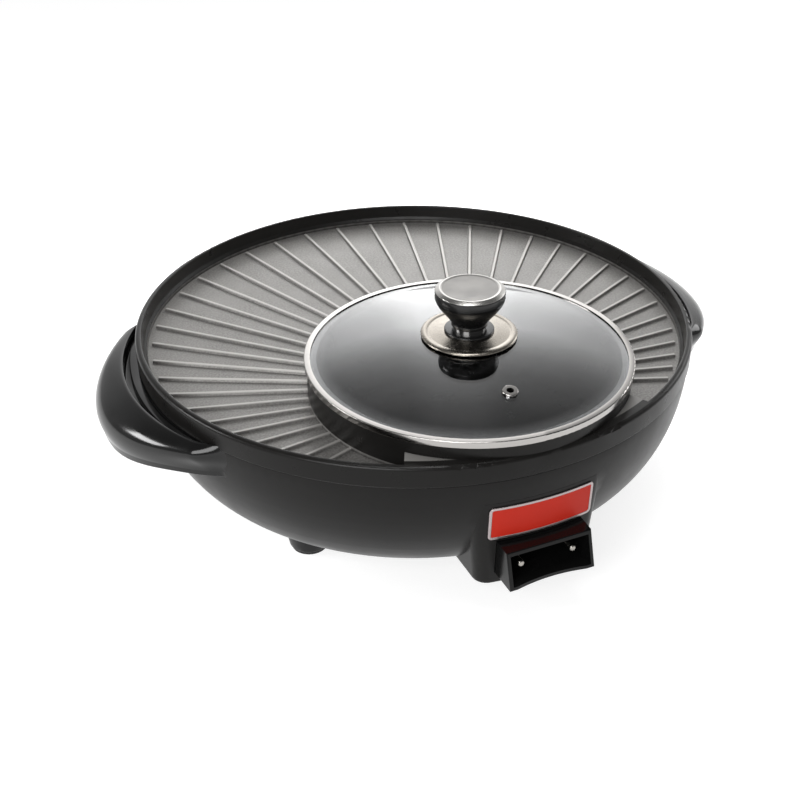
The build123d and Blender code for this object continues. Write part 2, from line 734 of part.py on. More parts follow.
def make_handle(side_deg):
    """A crescent scoop: bulging skin, inner wall on the housing, trough above and finger hollow below."""
    lip_top = HANDLE_LOW + HANDLE_H * HANDLE_PROFILE_SHARES[0][0]
    body = loft(handle_layers()) + handle_lip(lip_top + PIN_GAP)
    body = body & sector(HANDLE_HALF_DEG, PAN_R * 2, 0, RIM_Z)
    ledge_z = HANDLE_TOP - HANDLE_LEDGE_DROP
    trough_z = HANDLE_TOP - HANDLE_TROUGH_DROP
    above = handle_plan(HANDLE_EDGE_CENTRE, HANDLE_EDGE_REACH - HANDLE_EDGE_T)
    trough = Pos(0, 0, ledge_z) * extrude(above, HANDLE_TOP - ledge_z + OVERRUN)
    groove = Pos(0, 0, trough_z) * extrude(above - Circle(HANDLE_SEAT_R), HANDLE_TOP - trough_z)
    roof_z = trough_z - HANDLE_WEB
    pocket_reach = HANDLE_REACH - HANDLE_SKIN - HANDLE_LIP_STEP
    hollow = handle_plan(HANDLE_BULGE_CENTRE, pocket_reach)
    hollow -= Circle(HANDLE_SEAT_R)
    pocket = Pos(0, 0, HANDLE_LOW - OVERRUN) * extrude(hollow, roof_z - HANDLE_LOW + OVERRUN)
    body = body - trough - groove - pocket
    for sign in (-1, 1):
        reach = HANDLE_SEAT_R + HANDLE_BOSS_REACH
        body += radial_bar(HANDLE_BOSS_R, BOWL_R, reach, HANDLE_SCREW_Z, sign * HANDLE_SCREW_DEG)
    body -= bowl_solid(-FREE_GAP, RIM_Z)
    body -= drum(PAN_R + FREE_GAP, BOWL_TOP - LIP_ROUND, RIM_Z)
    for sign in (-1, 1):
        reach = handle_screw_far() + OVERRUN
        turn = sign * HANDLE_SCREW_DEG
        body -= radial_bar(HANDLE_SCREW_R + PIN_GAP, BOWL_FLOOR_R, reach, HANDLE_SCREW_Z, turn)
    return Rot(0, 0, side_deg) * body


def handle_screw_near():
    """Where a handle screw's head bears on the inside of the housing."""
    return bowl_radius(HANDLE_SCREW_Z - HANDLE_HEAD_R, HOUSING_T) - FREE_GAP


def handle_screw_far():
    """Where a handle screw ends."""
    return handle_screw_near() + HANDLE_SCREW_L


def make_handle_screws():
    """Screws from inside the housing out into the handles."""
    near = handle_screw_near()
    screws = []
    for degrees in handle_screw_places():
        head = radial_bar(HANDLE_HEAD_R, near - HANDLE_HEAD_T, near, HANDLE_SCREW_Z, degrees)
        shank_near = near - HANDLE_HEAD_T / 2
        shank = radial_bar(HANDLE_SCREW_R, shank_near, handle_screw_far(), HANDLE_SCREW_Z, degrees)
        screws.append(head + shank)
    return screws


# Feet
FOOT_SEAT = FOOT_H - FOOT_SEAT_H


def at_feet(shape):
    """A copy of a shape at every foot."""
    return [at_polar(shape, FOOT_PLACE_R, degrees) for degrees in FOOT_ANGLES_DEG]


def make_foot():
    """A tapered block with a screw bore that the pad closes."""
    points = [(0, PAD_T), (FOOT_END_R, PAD_T), (FOOT_TOP_R, FOOT_H), (0, FOOT_H)]
    cone = turned(outline(points, [(1, FOOT_ROUND)]))
    cone -= drum(FOOT_BORE_R, 0, FOOT_SEAT)
    return cone - drum(FOOT_SCREW_R + SCREW_GAP, 0, FOOT_H + OVERRUN)


# Bottom cover
def make_cover():
    """A sheet disc with a ring of radial vent slots."""
    disc = drum(COVER_R, COVER_LOW, FOOT_H)
    slot = SlotCenterToCenter(COVER_SLOT_L, COVER_SLOT_W)
    cutter = extrude(slot, COVER_T + 2 * OVERRUN)
    slots = []
    for n in range(COVER_SLOTS):
        turn = 360 / COVER_SLOTS * n
        slots.append(Rot(0, 0, turn) * Pos(COVER_SLOT_PLACE_R, 0, COVER_LOW - OVERRUN) * cutter)
    hole = drum(COVER_SCREW_R + SCREW_GAP, COVER_LOW - OVERRUN, FOOT_H + OVERRUN)
    holes = [at_polar(hole, COVER_SCREW_PLACE_R, degrees) for degrees in cover_screw_places()]
    return disc - slots - holes


# Label plate on the console
def make_label():
    """A thin rounded plate bent round the console's front."""
    top = CONSOLE_TOP - LABEL_TOP_DROP
    middle = top - LABEL_H / 2
    panel = Plane(origin=(0, -BOWL_FLOOR_R, middle), x_dir=(1, 0, 0), z_dir=(0, -1, 0))
    block = extrude(panel * RectangleRounded(LABEL_W, LABEL_H, LABEL_CORNER_R), PAN_R)
    low = top - LABEL_H - OVERRUN
    high = top + OVERRUN
    low_r = console_front(low) + FREE_GAP / 2
    high_r = console_front(high) + FREE_GAP / 2
    band = outline([(low_r, low), (low_r + LABEL_T, low), (high_r + LABEL_T, high), (high_r, high)])
    return block & turned(band)


# Socket guard and inlet at the front of the console
INLET_SCREW_X = GUARD_W / 2 + FLANGE_LIP / 2


def inlet_bar(radius, near, far, x, z):
    """A round bar along Y at the inlet, from its far (front) end back to its near end."""
    bar = Cylinder(radius, far - near, align=(Align.CENTER, Align.CENTER, Align.MIN))
    return Pos(x, -near, z) * Rot(90, 0, 0) * bar


def make_guard():
    """A shroud with a leaning mouth, a dipped sill and a flange inside the console."""
    hood_back = console_front(HOOD_TOP) - HOUSING_T
    side = outline([
        (-FLANGE_BACK, GUARD_LOW),
        (-GUARD_LOW_REACH, GUARD_LOW),
        (-GUARD_TOP_REACH, GUARD_TOP),
        (-hood_back, HOOD_TOP),
        (-FLANGE_BACK, HOOD_TOP),
    ])
    shroud = extrude(Plane.YZ * side, GUARD_W / 2, both=True)
    shroud = fillet(shroud.faces().sort_by(Axis.Y)[0].edges(), GUARD_EDGE_R)
    shroud += box((-FLANGE_HALF_W, -FLANGE_FRONT, FLANGE_LOW), (FLANGE_HALF_W, -FLANGE_BACK, FLANGE_TOP))
    half = GUARD_W / 2 - GUARD_WALL
    low = GUARD_LOW + GUARD_WALL
    high = GUARD_TOP - GUARD_WALL
    shroud -= box((-half, -GUARD_LOW_REACH - OVERRUN, low), (half, -FLANGE_BACK + OVERRUN, high))
    dip_r = (half**2 + GUARD_SILL_DIP**2) / (2 * GUARD_SILL_DIP)
    dip_y = -GUARD_LOW_REACH + GUARD_SILL_DIP - dip_r
    shroud -= Pos(0, dip_y, 0) * drum(dip_r, GUARD_LOW - OVERRUN, low)
    for sign in (-1, 1):
        far = FLANGE_FRONT + OVERRUN
        shroud -= inlet_bar(INLET_SCREW_R + PIN_GAP, BLOCK_BACK, far, sign * INLET_SCREW_X, PIN_Z)
    return shroud


def make_block():
    """The insulating plate that closes the back of the guard and holds the pins."""
    block = box((-FLANGE_HALF_W, -FLANGE_BACK, FLANGE_LOW), (FLANGE_HALF_W, -BLOCK_BACK, FLANGE_TOP))
    near = BLOCK_BACK - OVERRUN
    far = FLANGE_BACK + OVERRUN
    for sign in (-1, 1):
        block -= inlet_bar(PIN_TAIL_R + PIN_GAP, near, far, sign * PIN_SPACING / 2, PIN_Z)
        block -= inlet_bar(INLET_SCREW_R + SCREW_GAP, near, far, sign * INLET_SCREW_X, PIN_Z)
    return block - inlet_bar(PROBE_R + PIN_GAP, near, far, 0, PIN_Z)


def make_pins():
    """Two round contact pins, each seated on the block, with a rounded tip and a thinner tail through it."""
    section = outline([
        (0, PIN_BACK),
        (PIN_TAIL_R, PIN_BACK),
        (PIN_TAIL_R, FLANGE_BACK),
        (PIN_R - PIN_CHAMFER, FLANGE_BACK),
        (PIN_R, FLANGE_BACK + PIN_CHAMFER),
        (PIN_R, PIN_REACH),
        (0, PIN_REACH),
    ], [(5, PIN_R / 2)])
    pin = Rot(QUARTER_TURN, 0, 0) * turned(section)
    return [Pos(sign * PIN_SPACING / 2, 0, PIN_Z) * pin for sign in (-1, 1)]


def make_probe_tube():
    """A tube for the plug's sensor, closed at its inner end."""
    front = FLANGE_BACK + PROBE_OUT
    back = front - PROBE_LENGTH
    wall = PROBE_R - PROBE_BORE_R
    bore = inlet_bar(PROBE_BORE_R, back + wall, front + OVERRUN, 0, PIN_Z)
    return inlet_bar(PROBE_R, back, front, 0, PIN_Z) - bore


def make_inlet_screws():
    """Two screws from behind the block into the guard's flange."""
    screws = []
    for sign in (-1, 1):
        x = sign * INLET_SCREW_X
        head = inlet_bar(INLET_HEAD_R, BLOCK_BACK - INLET_HEAD_T, BLOCK_BACK, x, PIN_Z)
        shank = inlet_bar(INLET_SCREW_R, BLOCK_BACK - INLET_HEAD_T / 2, FLANGE_FRONT, x, PIN_Z)
        screws.append(head + shank)
    return screws


def make_lead(side):
    """One insulated lead from a pin's tail round to the element's end on the same side."""
    end_x, end_y = element_end(side)
    end_z = ELEMENT_Z - ELEMENT_BEND_R - ELEMENT_LEG - FREE_GAP
    start_x = side * PIN_SPACING / 2
    start_y = -(PIN_BACK - FREE_GAP)
    points = [
        (start_x, start_y, PIN_Z),
        (start_x, start_y + LEAD_START, PIN_Z),
        ((start_x + end_x) / 2, (start_y + end_y) / 2 + LEAD_SAG, PIN_Z + LEAD_RISE),
        (end_x, end_y, PIN_Z + LEAD_TURN_LIFT),
        (end_x, end_y, end_z),
    ]
    path = FilletPolyline(*points, radius=LEAD_BEND_R)
    start = Plane(origin=points[0], z_dir=(0, 1, 0))
    return sweep(start * Circle(LEAD_R), path=path)


# Lid
LID_BASE = WELL_TOP + LID_GAP
LID_RIM_TOP = LID_BASE + LID_RIM_H
GLASS_LOW = LID_BASE + LID_RIM_T + GLASS_EDGE_GAP
GLASS_HIGH = LID_RIM_TOP - LID_RIM_T - GLASS_EDGE_GAP
SPHERE_R = (DOME_R**2 + DOME_RISE**2) / (2 * DOME_RISE)
APEX = GLASS_HIGH + DOME_RISE
UNDER_APEX = APEX - GLASS_T
LID_RIM_OPEN_R = LID_RIM_R - LID_RIM_LAND


def dome_height(radius):
    """Height of the glass dome's outside at a radius from the lid's axis."""
    return APEX - SPHERE_R + math.sqrt(SPHERE_R**2 - radius**2)


def make_glass():
    """A domed disc of even thickness with a flat edge, a centre hole and a vent hole."""
    edge = LID_RIM_R - LID_RIM_T - GLASS_EDGE_GAP
    inner_sphere = SPHERE_R - GLASS_T
    centre = APEX - SPHERE_R
    inner_r = math.sqrt(inner_sphere**2 - (GLASS_LOW - centre) ** 2)
    half_inner = inner_r / 2
    inner_mid = (half_inner, centre + math.sqrt(inner_sphere**2 - half_inner**2))
    top = ThreePointArc((0, APEX), (DOME_R / 2, dome_height(DOME_R / 2)), (DOME_R, GLASS_HIGH))
    rim = Polyline((DOME_R, GLASS_HIGH), (edge, GLASS_HIGH), (edge, GLASS_LOW), (inner_r, GLASS_LOW))
    under = ThreePointArc((inner_r, GLASS_LOW), inner_mid, (0, UNDER_APEX))
    glass = turned(make_face(top + rim + under + Line((0, UNDER_APEX), (0, APEX))))
    glass -= drum(SHANK_R + SCREW_GAP, GLASS_LOW, APEX + OVERRUN)
    return at_well(glass - vent_placed(drum(VENT_HOLE_R + PIN_GAP, UNDER_APEX - OVERRUN, APEX + OVERRUN)))


def vent_placed(shape):
    """A shape at the dome's top carried forward over the sphere to the vent's place."""
    tilt = math.degrees(math.asin(VENT_DISTANCE / SPHERE_R))
    centre = APEX - SPHERE_R
    tilted = Pos(0, 0, centre) * Rot(tilt, 0, 0) * Pos(0, 0, -centre) * shape
    return Rot(0, 0, -VENT_TURN_DEG) * tilted


def make_ring():
    """The folded rim: a channel round the glass's edge, with a collar that locates in the well."""
    collar_in = COLLAR_R - COLLAR_T
    points = [
        (collar_in, LID_BASE - COLLAR_H),
        (COLLAR_R, LID_BASE - COLLAR_H),
        (COLLAR_R, LID_BASE),
        (LID_RIM_R, LID_BASE),
        (LID_RIM_R, LID_RIM_TOP),
        (LID_RIM_OPEN_R, LID_RIM_TOP),
        (LID_RIM_OPEN_R, LID_RIM_TOP - LID_RIM_T),
        (LID_RIM_R - LID_RIM_T, LID_RIM_TOP - LID_RIM_T),
        (LID_RIM_R - LID_RIM_T, LID_BASE + LID_RIM_T),
        (collar_in, LID_BASE + LID_RIM_T),
    ]
    return at_well(turned(outline(points, [(4, LID_RIM_T), (3, LID_RIM_T)])))


def make_vent():
    """An eyelet whose two flanges hold the glass between them."""
    section = outline([
        (VENT_BORE_R, UNDER_APEX - FREE_GAP - VENT_FLANGE_T),
        (VENT_FLANGE_R, UNDER_APEX - FREE_GAP - VENT_FLANGE_T),
        (VENT_FLANGE_R, UNDER_APEX - FREE_GAP),
        (VENT_HOLE_R, UNDER_APEX - FREE_GAP),
        (VENT_HOLE_R, APEX + FREE_GAP / 2),
        (VENT_FLANGE_R, APEX + FREE_GAP / 2),
        (VENT_FLANGE_R, APEX + FREE_GAP / 2 + VENT_FLANGE_T),
        (VENT_BORE_R, APEX + FREE_GAP / 2 + VENT_FLANGE_T),
    ], [(6, VENT_FLANGE_T / 2)])
    return at_well(vent_placed(turned(section)))


# Knob stack: each piece stands on the one below it
GASKET_LOW = APEX + PIN_GAP
SKIRT_LOW = GASKET_LOW + GASKET_H
SKIRT_TOP = SKIRT_LOW + SKIRT_T
BASE_TOP = SKIRT_TOP + BASE_H
NECK_TOP = BASE_TOP + NECK_H
KNOB_TOP = NECK_TOP + KNOB_H
CAP_LOW = KNOB_TOP - CAP_T
SHANK_TOP = NECK_TOP + SCREW_BITE
SEAL_LOW = UNDER_APEX - FREE_GAP - SEAL_T
LID_WASHER_LOW = SEAL_LOW - LID_WASHER_T
STACK_BORE_R = SHANK_R + SCREW_GAP


def make_skirt():
    """A shallow stainless dish over the gasket, with a rolled bead round its edge."""
    edge_z = SKIRT_LOW - SKIRT_FALL
    groove_z = SKIRT_TOP - SKIRT_DISH_FALL
    crest_z = groove_z + SKIRT_CREST_RISE
    edge_in = SKIRT_R - SKIRT_T
    top = Polyline((STACK_BORE_R, SKIRT_TOP), (SKIRT_TOP_R, SKIRT_TOP), (SKIRT_BEAD_R, groove_z))
    bead = ThreePointArc((SKIRT_BEAD_R, groove_z), (SKIRT_CREST_R, crest_z), (SKIRT_R, edge_z))
    under_bead = ThreePointArc(
        (edge_in, edge_z),
        (SKIRT_CREST_R - SKIRT_T / 2, crest_z - SKIRT_T),
        (SKIRT_BEAD_R, groove_z - SKIRT_T),
    )
    under = Polyline(
        (SKIRT_BEAD_R, groove_z - SKIRT_T),
        (SKIRT_TOP_R, SKIRT_LOW),
        (STACK_BORE_R, SKIRT_LOW),
        (STACK_BORE_R, SKIRT_TOP),
    )
    lip = Line((SKIRT_R, edge_z), (edge_in, edge_z))
    return at_well(turned(make_face(top + bead + lip + under_bead + under)))


def make_base():
    """The black foot of the knob, a low drum with rounded edges."""
    section = outline([
        (STACK_BORE_R, SKIRT_TOP),
        (BASE_R, SKIRT_TOP),
        (BASE_R, BASE_TOP),
        (STACK_BORE_R, BASE_TOP),
    ], [(2, BASE_ROUND)])
    return at_well(turned(section))


# Shares of the height from the knob's foot ring to its brow, with the shares of its radius
KNOB_PROFILE_SHARES = ((0.0, 0.505), (0.27, 0.65), (0.54, 0.81), (0.75, 0.92), (1.0, 1.0))


def make_knob():
    """A cup-shaped grip that swells from a foot ring to its brow, with a recess for the cap's spigot."""
    foot_top = NECK_TOP + KNOB_FOOT_H
    brow = KNOB_TOP - KNOB_BROW_DROP
    points = [(KNOB_R * wide, foot_top + (brow - foot_top) * high) for high, wide in KNOB_PROFILE_SHARES]
    start = Vector(*points[1]) - Vector(*points[0])
    swell = Spline(*points, tangents=[start, (0, KNOB_BROW_DROP)])
    foot = Polyline((0, NECK_TOP), (KNOB_FOOT_R, NECK_TOP), (KNOB_FOOT_R, foot_top), points[0])
    head = Polyline(
        points[-1],
        (KNOB_R, CAP_LOW),
        (CAP_SPIGOT_R + PIN_GAP, CAP_LOW),
        (CAP_SPIGOT_R + PIN_GAP, CAP_LOW - CAP_SPIGOT_H),
        (0, CAP_LOW - CAP_SPIGOT_H),
        (0, NECK_TOP),
    )
    knob = turned(make_face(foot + swell + head))
    return at_well(knob - drum(SHANK_R + PIN_GAP, NECK_TOP - OVERRUN, SHANK_TOP + OVERRUN))


def make_cap():
    """A bevelled disc with a shallow dished centre, on a spigot."""
    bevel_in = CAP_R - CAP_BEVEL
    land_in = bevel_in - CAP_LAND
    section = outline([
        (0, CAP_LOW - CAP_SPIGOT_H),
        (CAP_SPIGOT_R, CAP_LOW - CAP_SPIGOT_H),
        (CAP_SPIGOT_R, CAP_LOW),
        (CAP_R, CAP_LOW),
        (CAP_R, CAP_LOW + CAP_EDGE_H),
        (bevel_in, KNOB_TOP),
        (land_in, KNOB_TOP),
        (land_in - CAP_DISH, KNOB_TOP - CAP_DISH),
        (0, KNOB_TOP - CAP_DISH),
    ])
    return at_well(turned(section))


def make_seal():
    """A soft flat washer under the glass."""
    return at_well(tube(SEAL_R, STACK_BORE_R, SEAL_LOW, SEAL_LOW + SEAL_T))


ROD_LOW = FOOT_H - WASHER_T - NUT_T - ROD_TAIL
ROD_TOP = GRILL_Z - PLATE_T / 2 - ROD_TIP_GAP
ROD_BOSS_LOW = PLATE_Z - ROD_BOSS_H

export("pan", make_pan())
export("heating_element", make_element())
export("element_clips", make_clips())
export("clip_screws", make_clip_screws())
export("reflector", make_reflector())
export("tie_rods", at_rods(drum(ROD_R, ROD_LOW, ROD_TOP)))
export("lower_spacers", at_rods(tube(SPACER_R, ROD_R + SCREW_GAP, HOUSING_FLOOR, REFLECTOR_Z)))
export("upper_spacers", at_rods(tube(SPACER_R, ROD_R + SCREW_GAP, REFLECTOR_Z + REFLECTOR_T, ROD_BOSS_LOW)))
export("rod_washers", at_rods(tube(WASHER_R, ROD_R + SCREW_GAP, FOOT_H - WASHER_T, FOOT_H)))
export("rod_nuts", at_rods(hex_nut(FOOT_H - WASHER_T - NUT_T, NUT_R, NUT_T, ROD_R + PIN_GAP)))
export("housing", make_housing())
export("bottom_cover", make_cover())
cover_screw = screw_up(COVER_SCREW_R, COVER_HEAD_R, COVER_HEAD_T, COVER_SCREW_L, COVER_LOW)
export("cover_screws", [at_polar(cover_screw, COVER_SCREW_PLACE_R, turn) for turn in cover_screw_places()])
for handle_name, handle_turn in HANDLE_SIDES.items():
    export(handle_name, make_handle(handle_turn))
export("handle_screws", make_handle_screws())
export("feet", at_feet(make_foot()))
export("foot_pads", at_feet(drum(PAD_R, 0, PAD_T)))
foot_screw_l = FOOT_SEAT_H + HOUSING_T + NUT_T + FREE_GAP
export("foot_screws", at_feet(screw_up(FOOT_SCREW_R, FOOT_HEAD_R, FOOT_HEAD_T, foot_screw_l, FOOT_SEAT)))
export("foot_nuts", at_feet(hex_nut(HOUSING_FLOOR, NUT_R, NUT_T, FOOT_SCREW_R + PIN_GAP)))
export("label_plate", make_label())
export("socket_guard", make_guard())
export("inlet_block", make_block())
export("inlet_pins", make_pins())
export("probe_tube", make_probe_tube())
export("inlet_screws", make_inlet_screws())
export("power_leads", [make_lead(-1), make_lead(1)])
export("lid_glass", make_glass())
export("lid_ring", make_ring())
export("steam_vent", make_vent())
export("knob_gasket", at_well(tube(GASKET_R, STACK_BORE_R, GASKET_LOW, SKIRT_LOW)))
export("knob_skirt", make_skirt())
export("knob_base", make_base())
export("knob_neck", at_well(tube(NECK_R, STACK_BORE_R, BASE_TOP, NECK_TOP)))
export("knob", make_knob())
export("knob_cap", make_cap())
lid_screw = screw_up(SHANK_R, LID_HEAD_R, LID_HEAD_T, SHANK_TOP - LID_WASHER_LOW, LID_WASHER_LOW)
export("knob_screw", at_well(lid_screw))
export("screw_washer", at_well(tube(LID_WASHER_R, STACK_BORE_R, LID_WASHER_LOW, SEAL_LOW)))
export("screw_seal", make_seal())
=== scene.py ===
import math

import bmesh
import bpy
import numpy as np
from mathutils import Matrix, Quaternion, Vector

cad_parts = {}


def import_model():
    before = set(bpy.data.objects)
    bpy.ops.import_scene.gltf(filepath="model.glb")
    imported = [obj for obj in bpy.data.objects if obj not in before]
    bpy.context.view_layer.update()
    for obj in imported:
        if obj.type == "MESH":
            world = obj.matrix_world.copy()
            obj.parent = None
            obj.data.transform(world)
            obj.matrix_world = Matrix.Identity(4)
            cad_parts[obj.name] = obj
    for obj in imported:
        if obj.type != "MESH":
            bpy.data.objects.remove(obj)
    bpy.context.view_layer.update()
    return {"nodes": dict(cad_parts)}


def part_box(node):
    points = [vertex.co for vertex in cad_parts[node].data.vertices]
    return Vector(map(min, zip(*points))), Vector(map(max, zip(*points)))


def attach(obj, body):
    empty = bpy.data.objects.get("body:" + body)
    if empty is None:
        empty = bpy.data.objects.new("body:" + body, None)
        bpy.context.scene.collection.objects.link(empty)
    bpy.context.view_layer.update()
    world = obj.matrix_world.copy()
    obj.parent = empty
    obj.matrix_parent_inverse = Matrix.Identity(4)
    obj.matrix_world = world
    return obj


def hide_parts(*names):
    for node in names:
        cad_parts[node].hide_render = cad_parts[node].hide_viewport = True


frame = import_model()

MM = 0.001
WHITE = (1.0, 1.0, 1.0, 1.0)


def corners_of(node):
    """The low and the high corner of a node's box, in millimetres."""
    return [np.array(corner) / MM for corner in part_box(node)]


# Places read from the frame, in millimetres
pan_low, pan_high = corners_of("pan")
ring_low, ring_high = corners_of("lid_ring")
housing_low, housing_high = corners_of("housing")
PAN_R = (pan_high[0] - pan_low[0]) / 2
AXIS_Y = pan_high[1] - PAN_R
LID_R = (ring_high[0] - ring_low[0]) / 2
WELL_Y = ring_high[1] - LID_R
BOWL_TOP = housing_high[2]
FOOT_H = housing_low[2]
BAND_H = 15.0
RIM_H = 14.0
RIM_Z = BOWL_TOP + BAND_H
GRILL_Z = RIM_Z - RIM_H

# Camera, found by matching the rim, the lid and the socket to their places in the photograph
LENS = 56.25
SENSOR = 36.0
CAMERA_AZIMUTH = -24.4
CAMERA_ELEVATION = 27.65
CAMERA_DISTANCE = 914.0
CAMERA_PAN = 0.60
CAMERA_TILT = -4.04
CAMERA_ROLL = 0.15

# Surfaces
SMOOTH_ANGLE = 32.0
MERGE_GAP = 1e-6
CORNER_STEPS = 5
SHORT_SIDE_SHARE = 0.45
ROUND_STEPS = 144


def placed(name, data):
    """A new object in the scene."""
    obj = bpy.data.objects.new(name, data)
    bpy.context.scene.collection.objects.link(obj)
    return obj


def dress(node, material):
    """Gives a kept CAD node its finish and smooth shading: its loose triangles are welded, then split
    again at sharp edges."""
    obj = frame["nodes"][node]
    obj.data.polygons.foreach_set("use_smooth", np.ones(len(obj.data.polygons), bool))
    weld = obj.modifiers.new("weld", "WELD")
    weld.merge_threshold = MERGE_GAP
    split = obj.modifiers.new("split", "EDGE_SPLIT")
    split.split_angle = math.radians(SMOOTH_ANGLE)
    obj.data.materials.clear()
    obj.data.materials.append(material)


def eased(corners, cuts, steps=CORNER_STEPS):
    """Rounds a closed outline: near each corner P the outline becomes (1-t)^2 A + 2t(1-t) P + t^2 B,
    where A and B lie on the two sides at the corner's cut, or at 45% of a shorter side."""
    corners = np.asarray(corners, float)
    cuts = np.asarray(cuts, float)[:, None]
    before = np.roll(corners, 1, axis=-2) - corners
    after = np.roll(corners, -1, axis=-2) - corners
    reach_before = np.linalg.norm(before, axis=-1, keepdims=True) + 1e-9
    reach_after = np.linalg.norm(after, axis=-1, keepdims=True) + 1e-9
    a = corners + before * np.minimum(cuts / reach_before, SHORT_SIDE_SHARE)
    b = corners + after * np.minimum(cuts / reach_after, SHORT_SIDE_SHARE)
    t = np.linspace(0, 1, steps)[:, None]
    a, p, b = a[..., :, None, :], corners[..., :, None, :], b[..., :, None, :]
    curve = (1 - t) ** 2 * a + 2 * t * (1 - t) * p + t**2 * b
    return curve.reshape(*corners.shape[:-2], -1, 2)


def turned(profile, centre_y):
    """Turns a closed section (radius r, height z) about an upright axis: x = r cos a, y = centre + r sin a."""
    angle = np.linspace(0, 2 * np.pi, ROUND_STEPS, endpoint=False)[:, None]
    radius, height = profile[None, :, 0], profile[None, :, 1]
    return np.stack([radius * np.cos(angle), centre_y + radius * np.sin(angle), height + 0 * angle], -1)


def pinched(grid):
    """Closes a tube of sections: each end gets one more section in which every point is the end's mean."""
    first = np.broadcast_to(grid[:1].mean(1, keepdims=True), grid[:1].shape)
    last = np.broadcast_to(grid[-1:].mean(1, keepdims=True), grid[-1:].shape)
    return np.concatenate([first, grid, last])


def smooth_step(share):
    """3 s^2 - 2 s^3, with the share s held between 0 and 1."""
    share = np.clip(share, 0, 1)
    return share * share * (3 - 2 * share)


def signed_volume(points, faces):
    """Six times the volume inside the quads, from the triple products of their corners."""
    a, b, c, d = (points[faces[:, n]] for n in range(4))
    return np.sum(np.einsum("ij,ij->i", a, np.cross(b, c)) + np.einsum("ij,ij->i", a, np.cross(c, d)))


def shell(name, grid, closed, material, body, nodes, angle=50.0):
    """Makes one piece from a grid of points (along, around, xyz) in millimetres. Quads join each point to
    its neighbours; around always closes, along closes where asked; then doubles are merged."""
    rows, columns = grid.shape[:2]
    row = np.arange(rows if closed else rows - 1)[:, None]
    column = np.arange(columns)[None, :]
    next_row, next_column = (row + 1) % rows, (column + 1) % columns
    faces = np.stack([
        row * columns + column, row * columns + next_column,
        next_row * columns + next_column, next_row * columns + column,
    ], -1).reshape(-1, 4)
    points = grid.reshape(-1, 3)
    if signed_volume(points - points.mean(0), faces) < 0:
        faces = faces[:, ::-1].copy()
    mesh = bpy.data.meshes.new(name)
    mesh.from_pydata(points * MM, [], faces)
    work = bmesh.new()
    work.from_mesh(mesh)
    bmesh.ops.remove_doubles(work, verts=work.verts, dist=MERGE_GAP)
    work.to_mesh(mesh)
    work.free()
    mesh.polygons.foreach_set("use_smooth", np.ones(len(mesh.polygons), bool))
    mesh.set_sharp_from_angle(angle=math.radians(angle))
    mesh.materials.append(material)
    obj = placed(name, mesh)
    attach(obj, body)
    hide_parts(*nodes)


# Finishes
class Graph:
    """The shader nodes of one material or of the world."""

    def __init__(self, tree):
        self.nodes, self.links = tree.nodes, tree.links

    def feed(self, socket, value):
        """Links a socket to another one, or sets it to a plain value."""
        if isinstance(value, bpy.types.NodeSocket):
            self.links.new(value, socket)
        else:
            socket.default_value = value

    def math(self, operation, *values, clamp=False):
        """One sum on sockets or plain numbers."""
        node = self.nodes.new("ShaderNodeMath")
        node.operation = operation
        node.use_clamp = clamp
        for socket, value in zip(node.inputs, values):
            self.feed(socket, value)
        return node.outputs[0]

    def vector_math(self, operation, output, *values):
        """One sum on vectors, of which one output is used."""
        node = self.nodes.new("ShaderNodeVectorMath")
        node.operation = operation
        for socket, value in zip(node.inputs, values):
            self.feed(socket, value)
        return node.outputs[output]

    def along(self, place, axis):
        """One coordinate of a place."""
        split = self.nodes.new("ShaderNodeSeparateXYZ")
        self.links.new(place, split.inputs[0])
        return split.outputs[axis]

    def ramp(self, factor, stops):
        """A grey level that follows a factor through stops of position and level."""
        node = self.nodes.new("ShaderNodeValToRGB")
        elements = node.color_ramp.elements
        for element, (position, level) in zip(elements, (stops[0], stops[-1])):
            element.position, element.color = position, (level,) * 3 + (1.0,)
        for position, level in stops[1:-1]:
            elements.new(position).color = (level,) * 3 + (1.0,)
        self.links.new(factor, node.inputs["Fac"])
        return node.outputs["Color"]


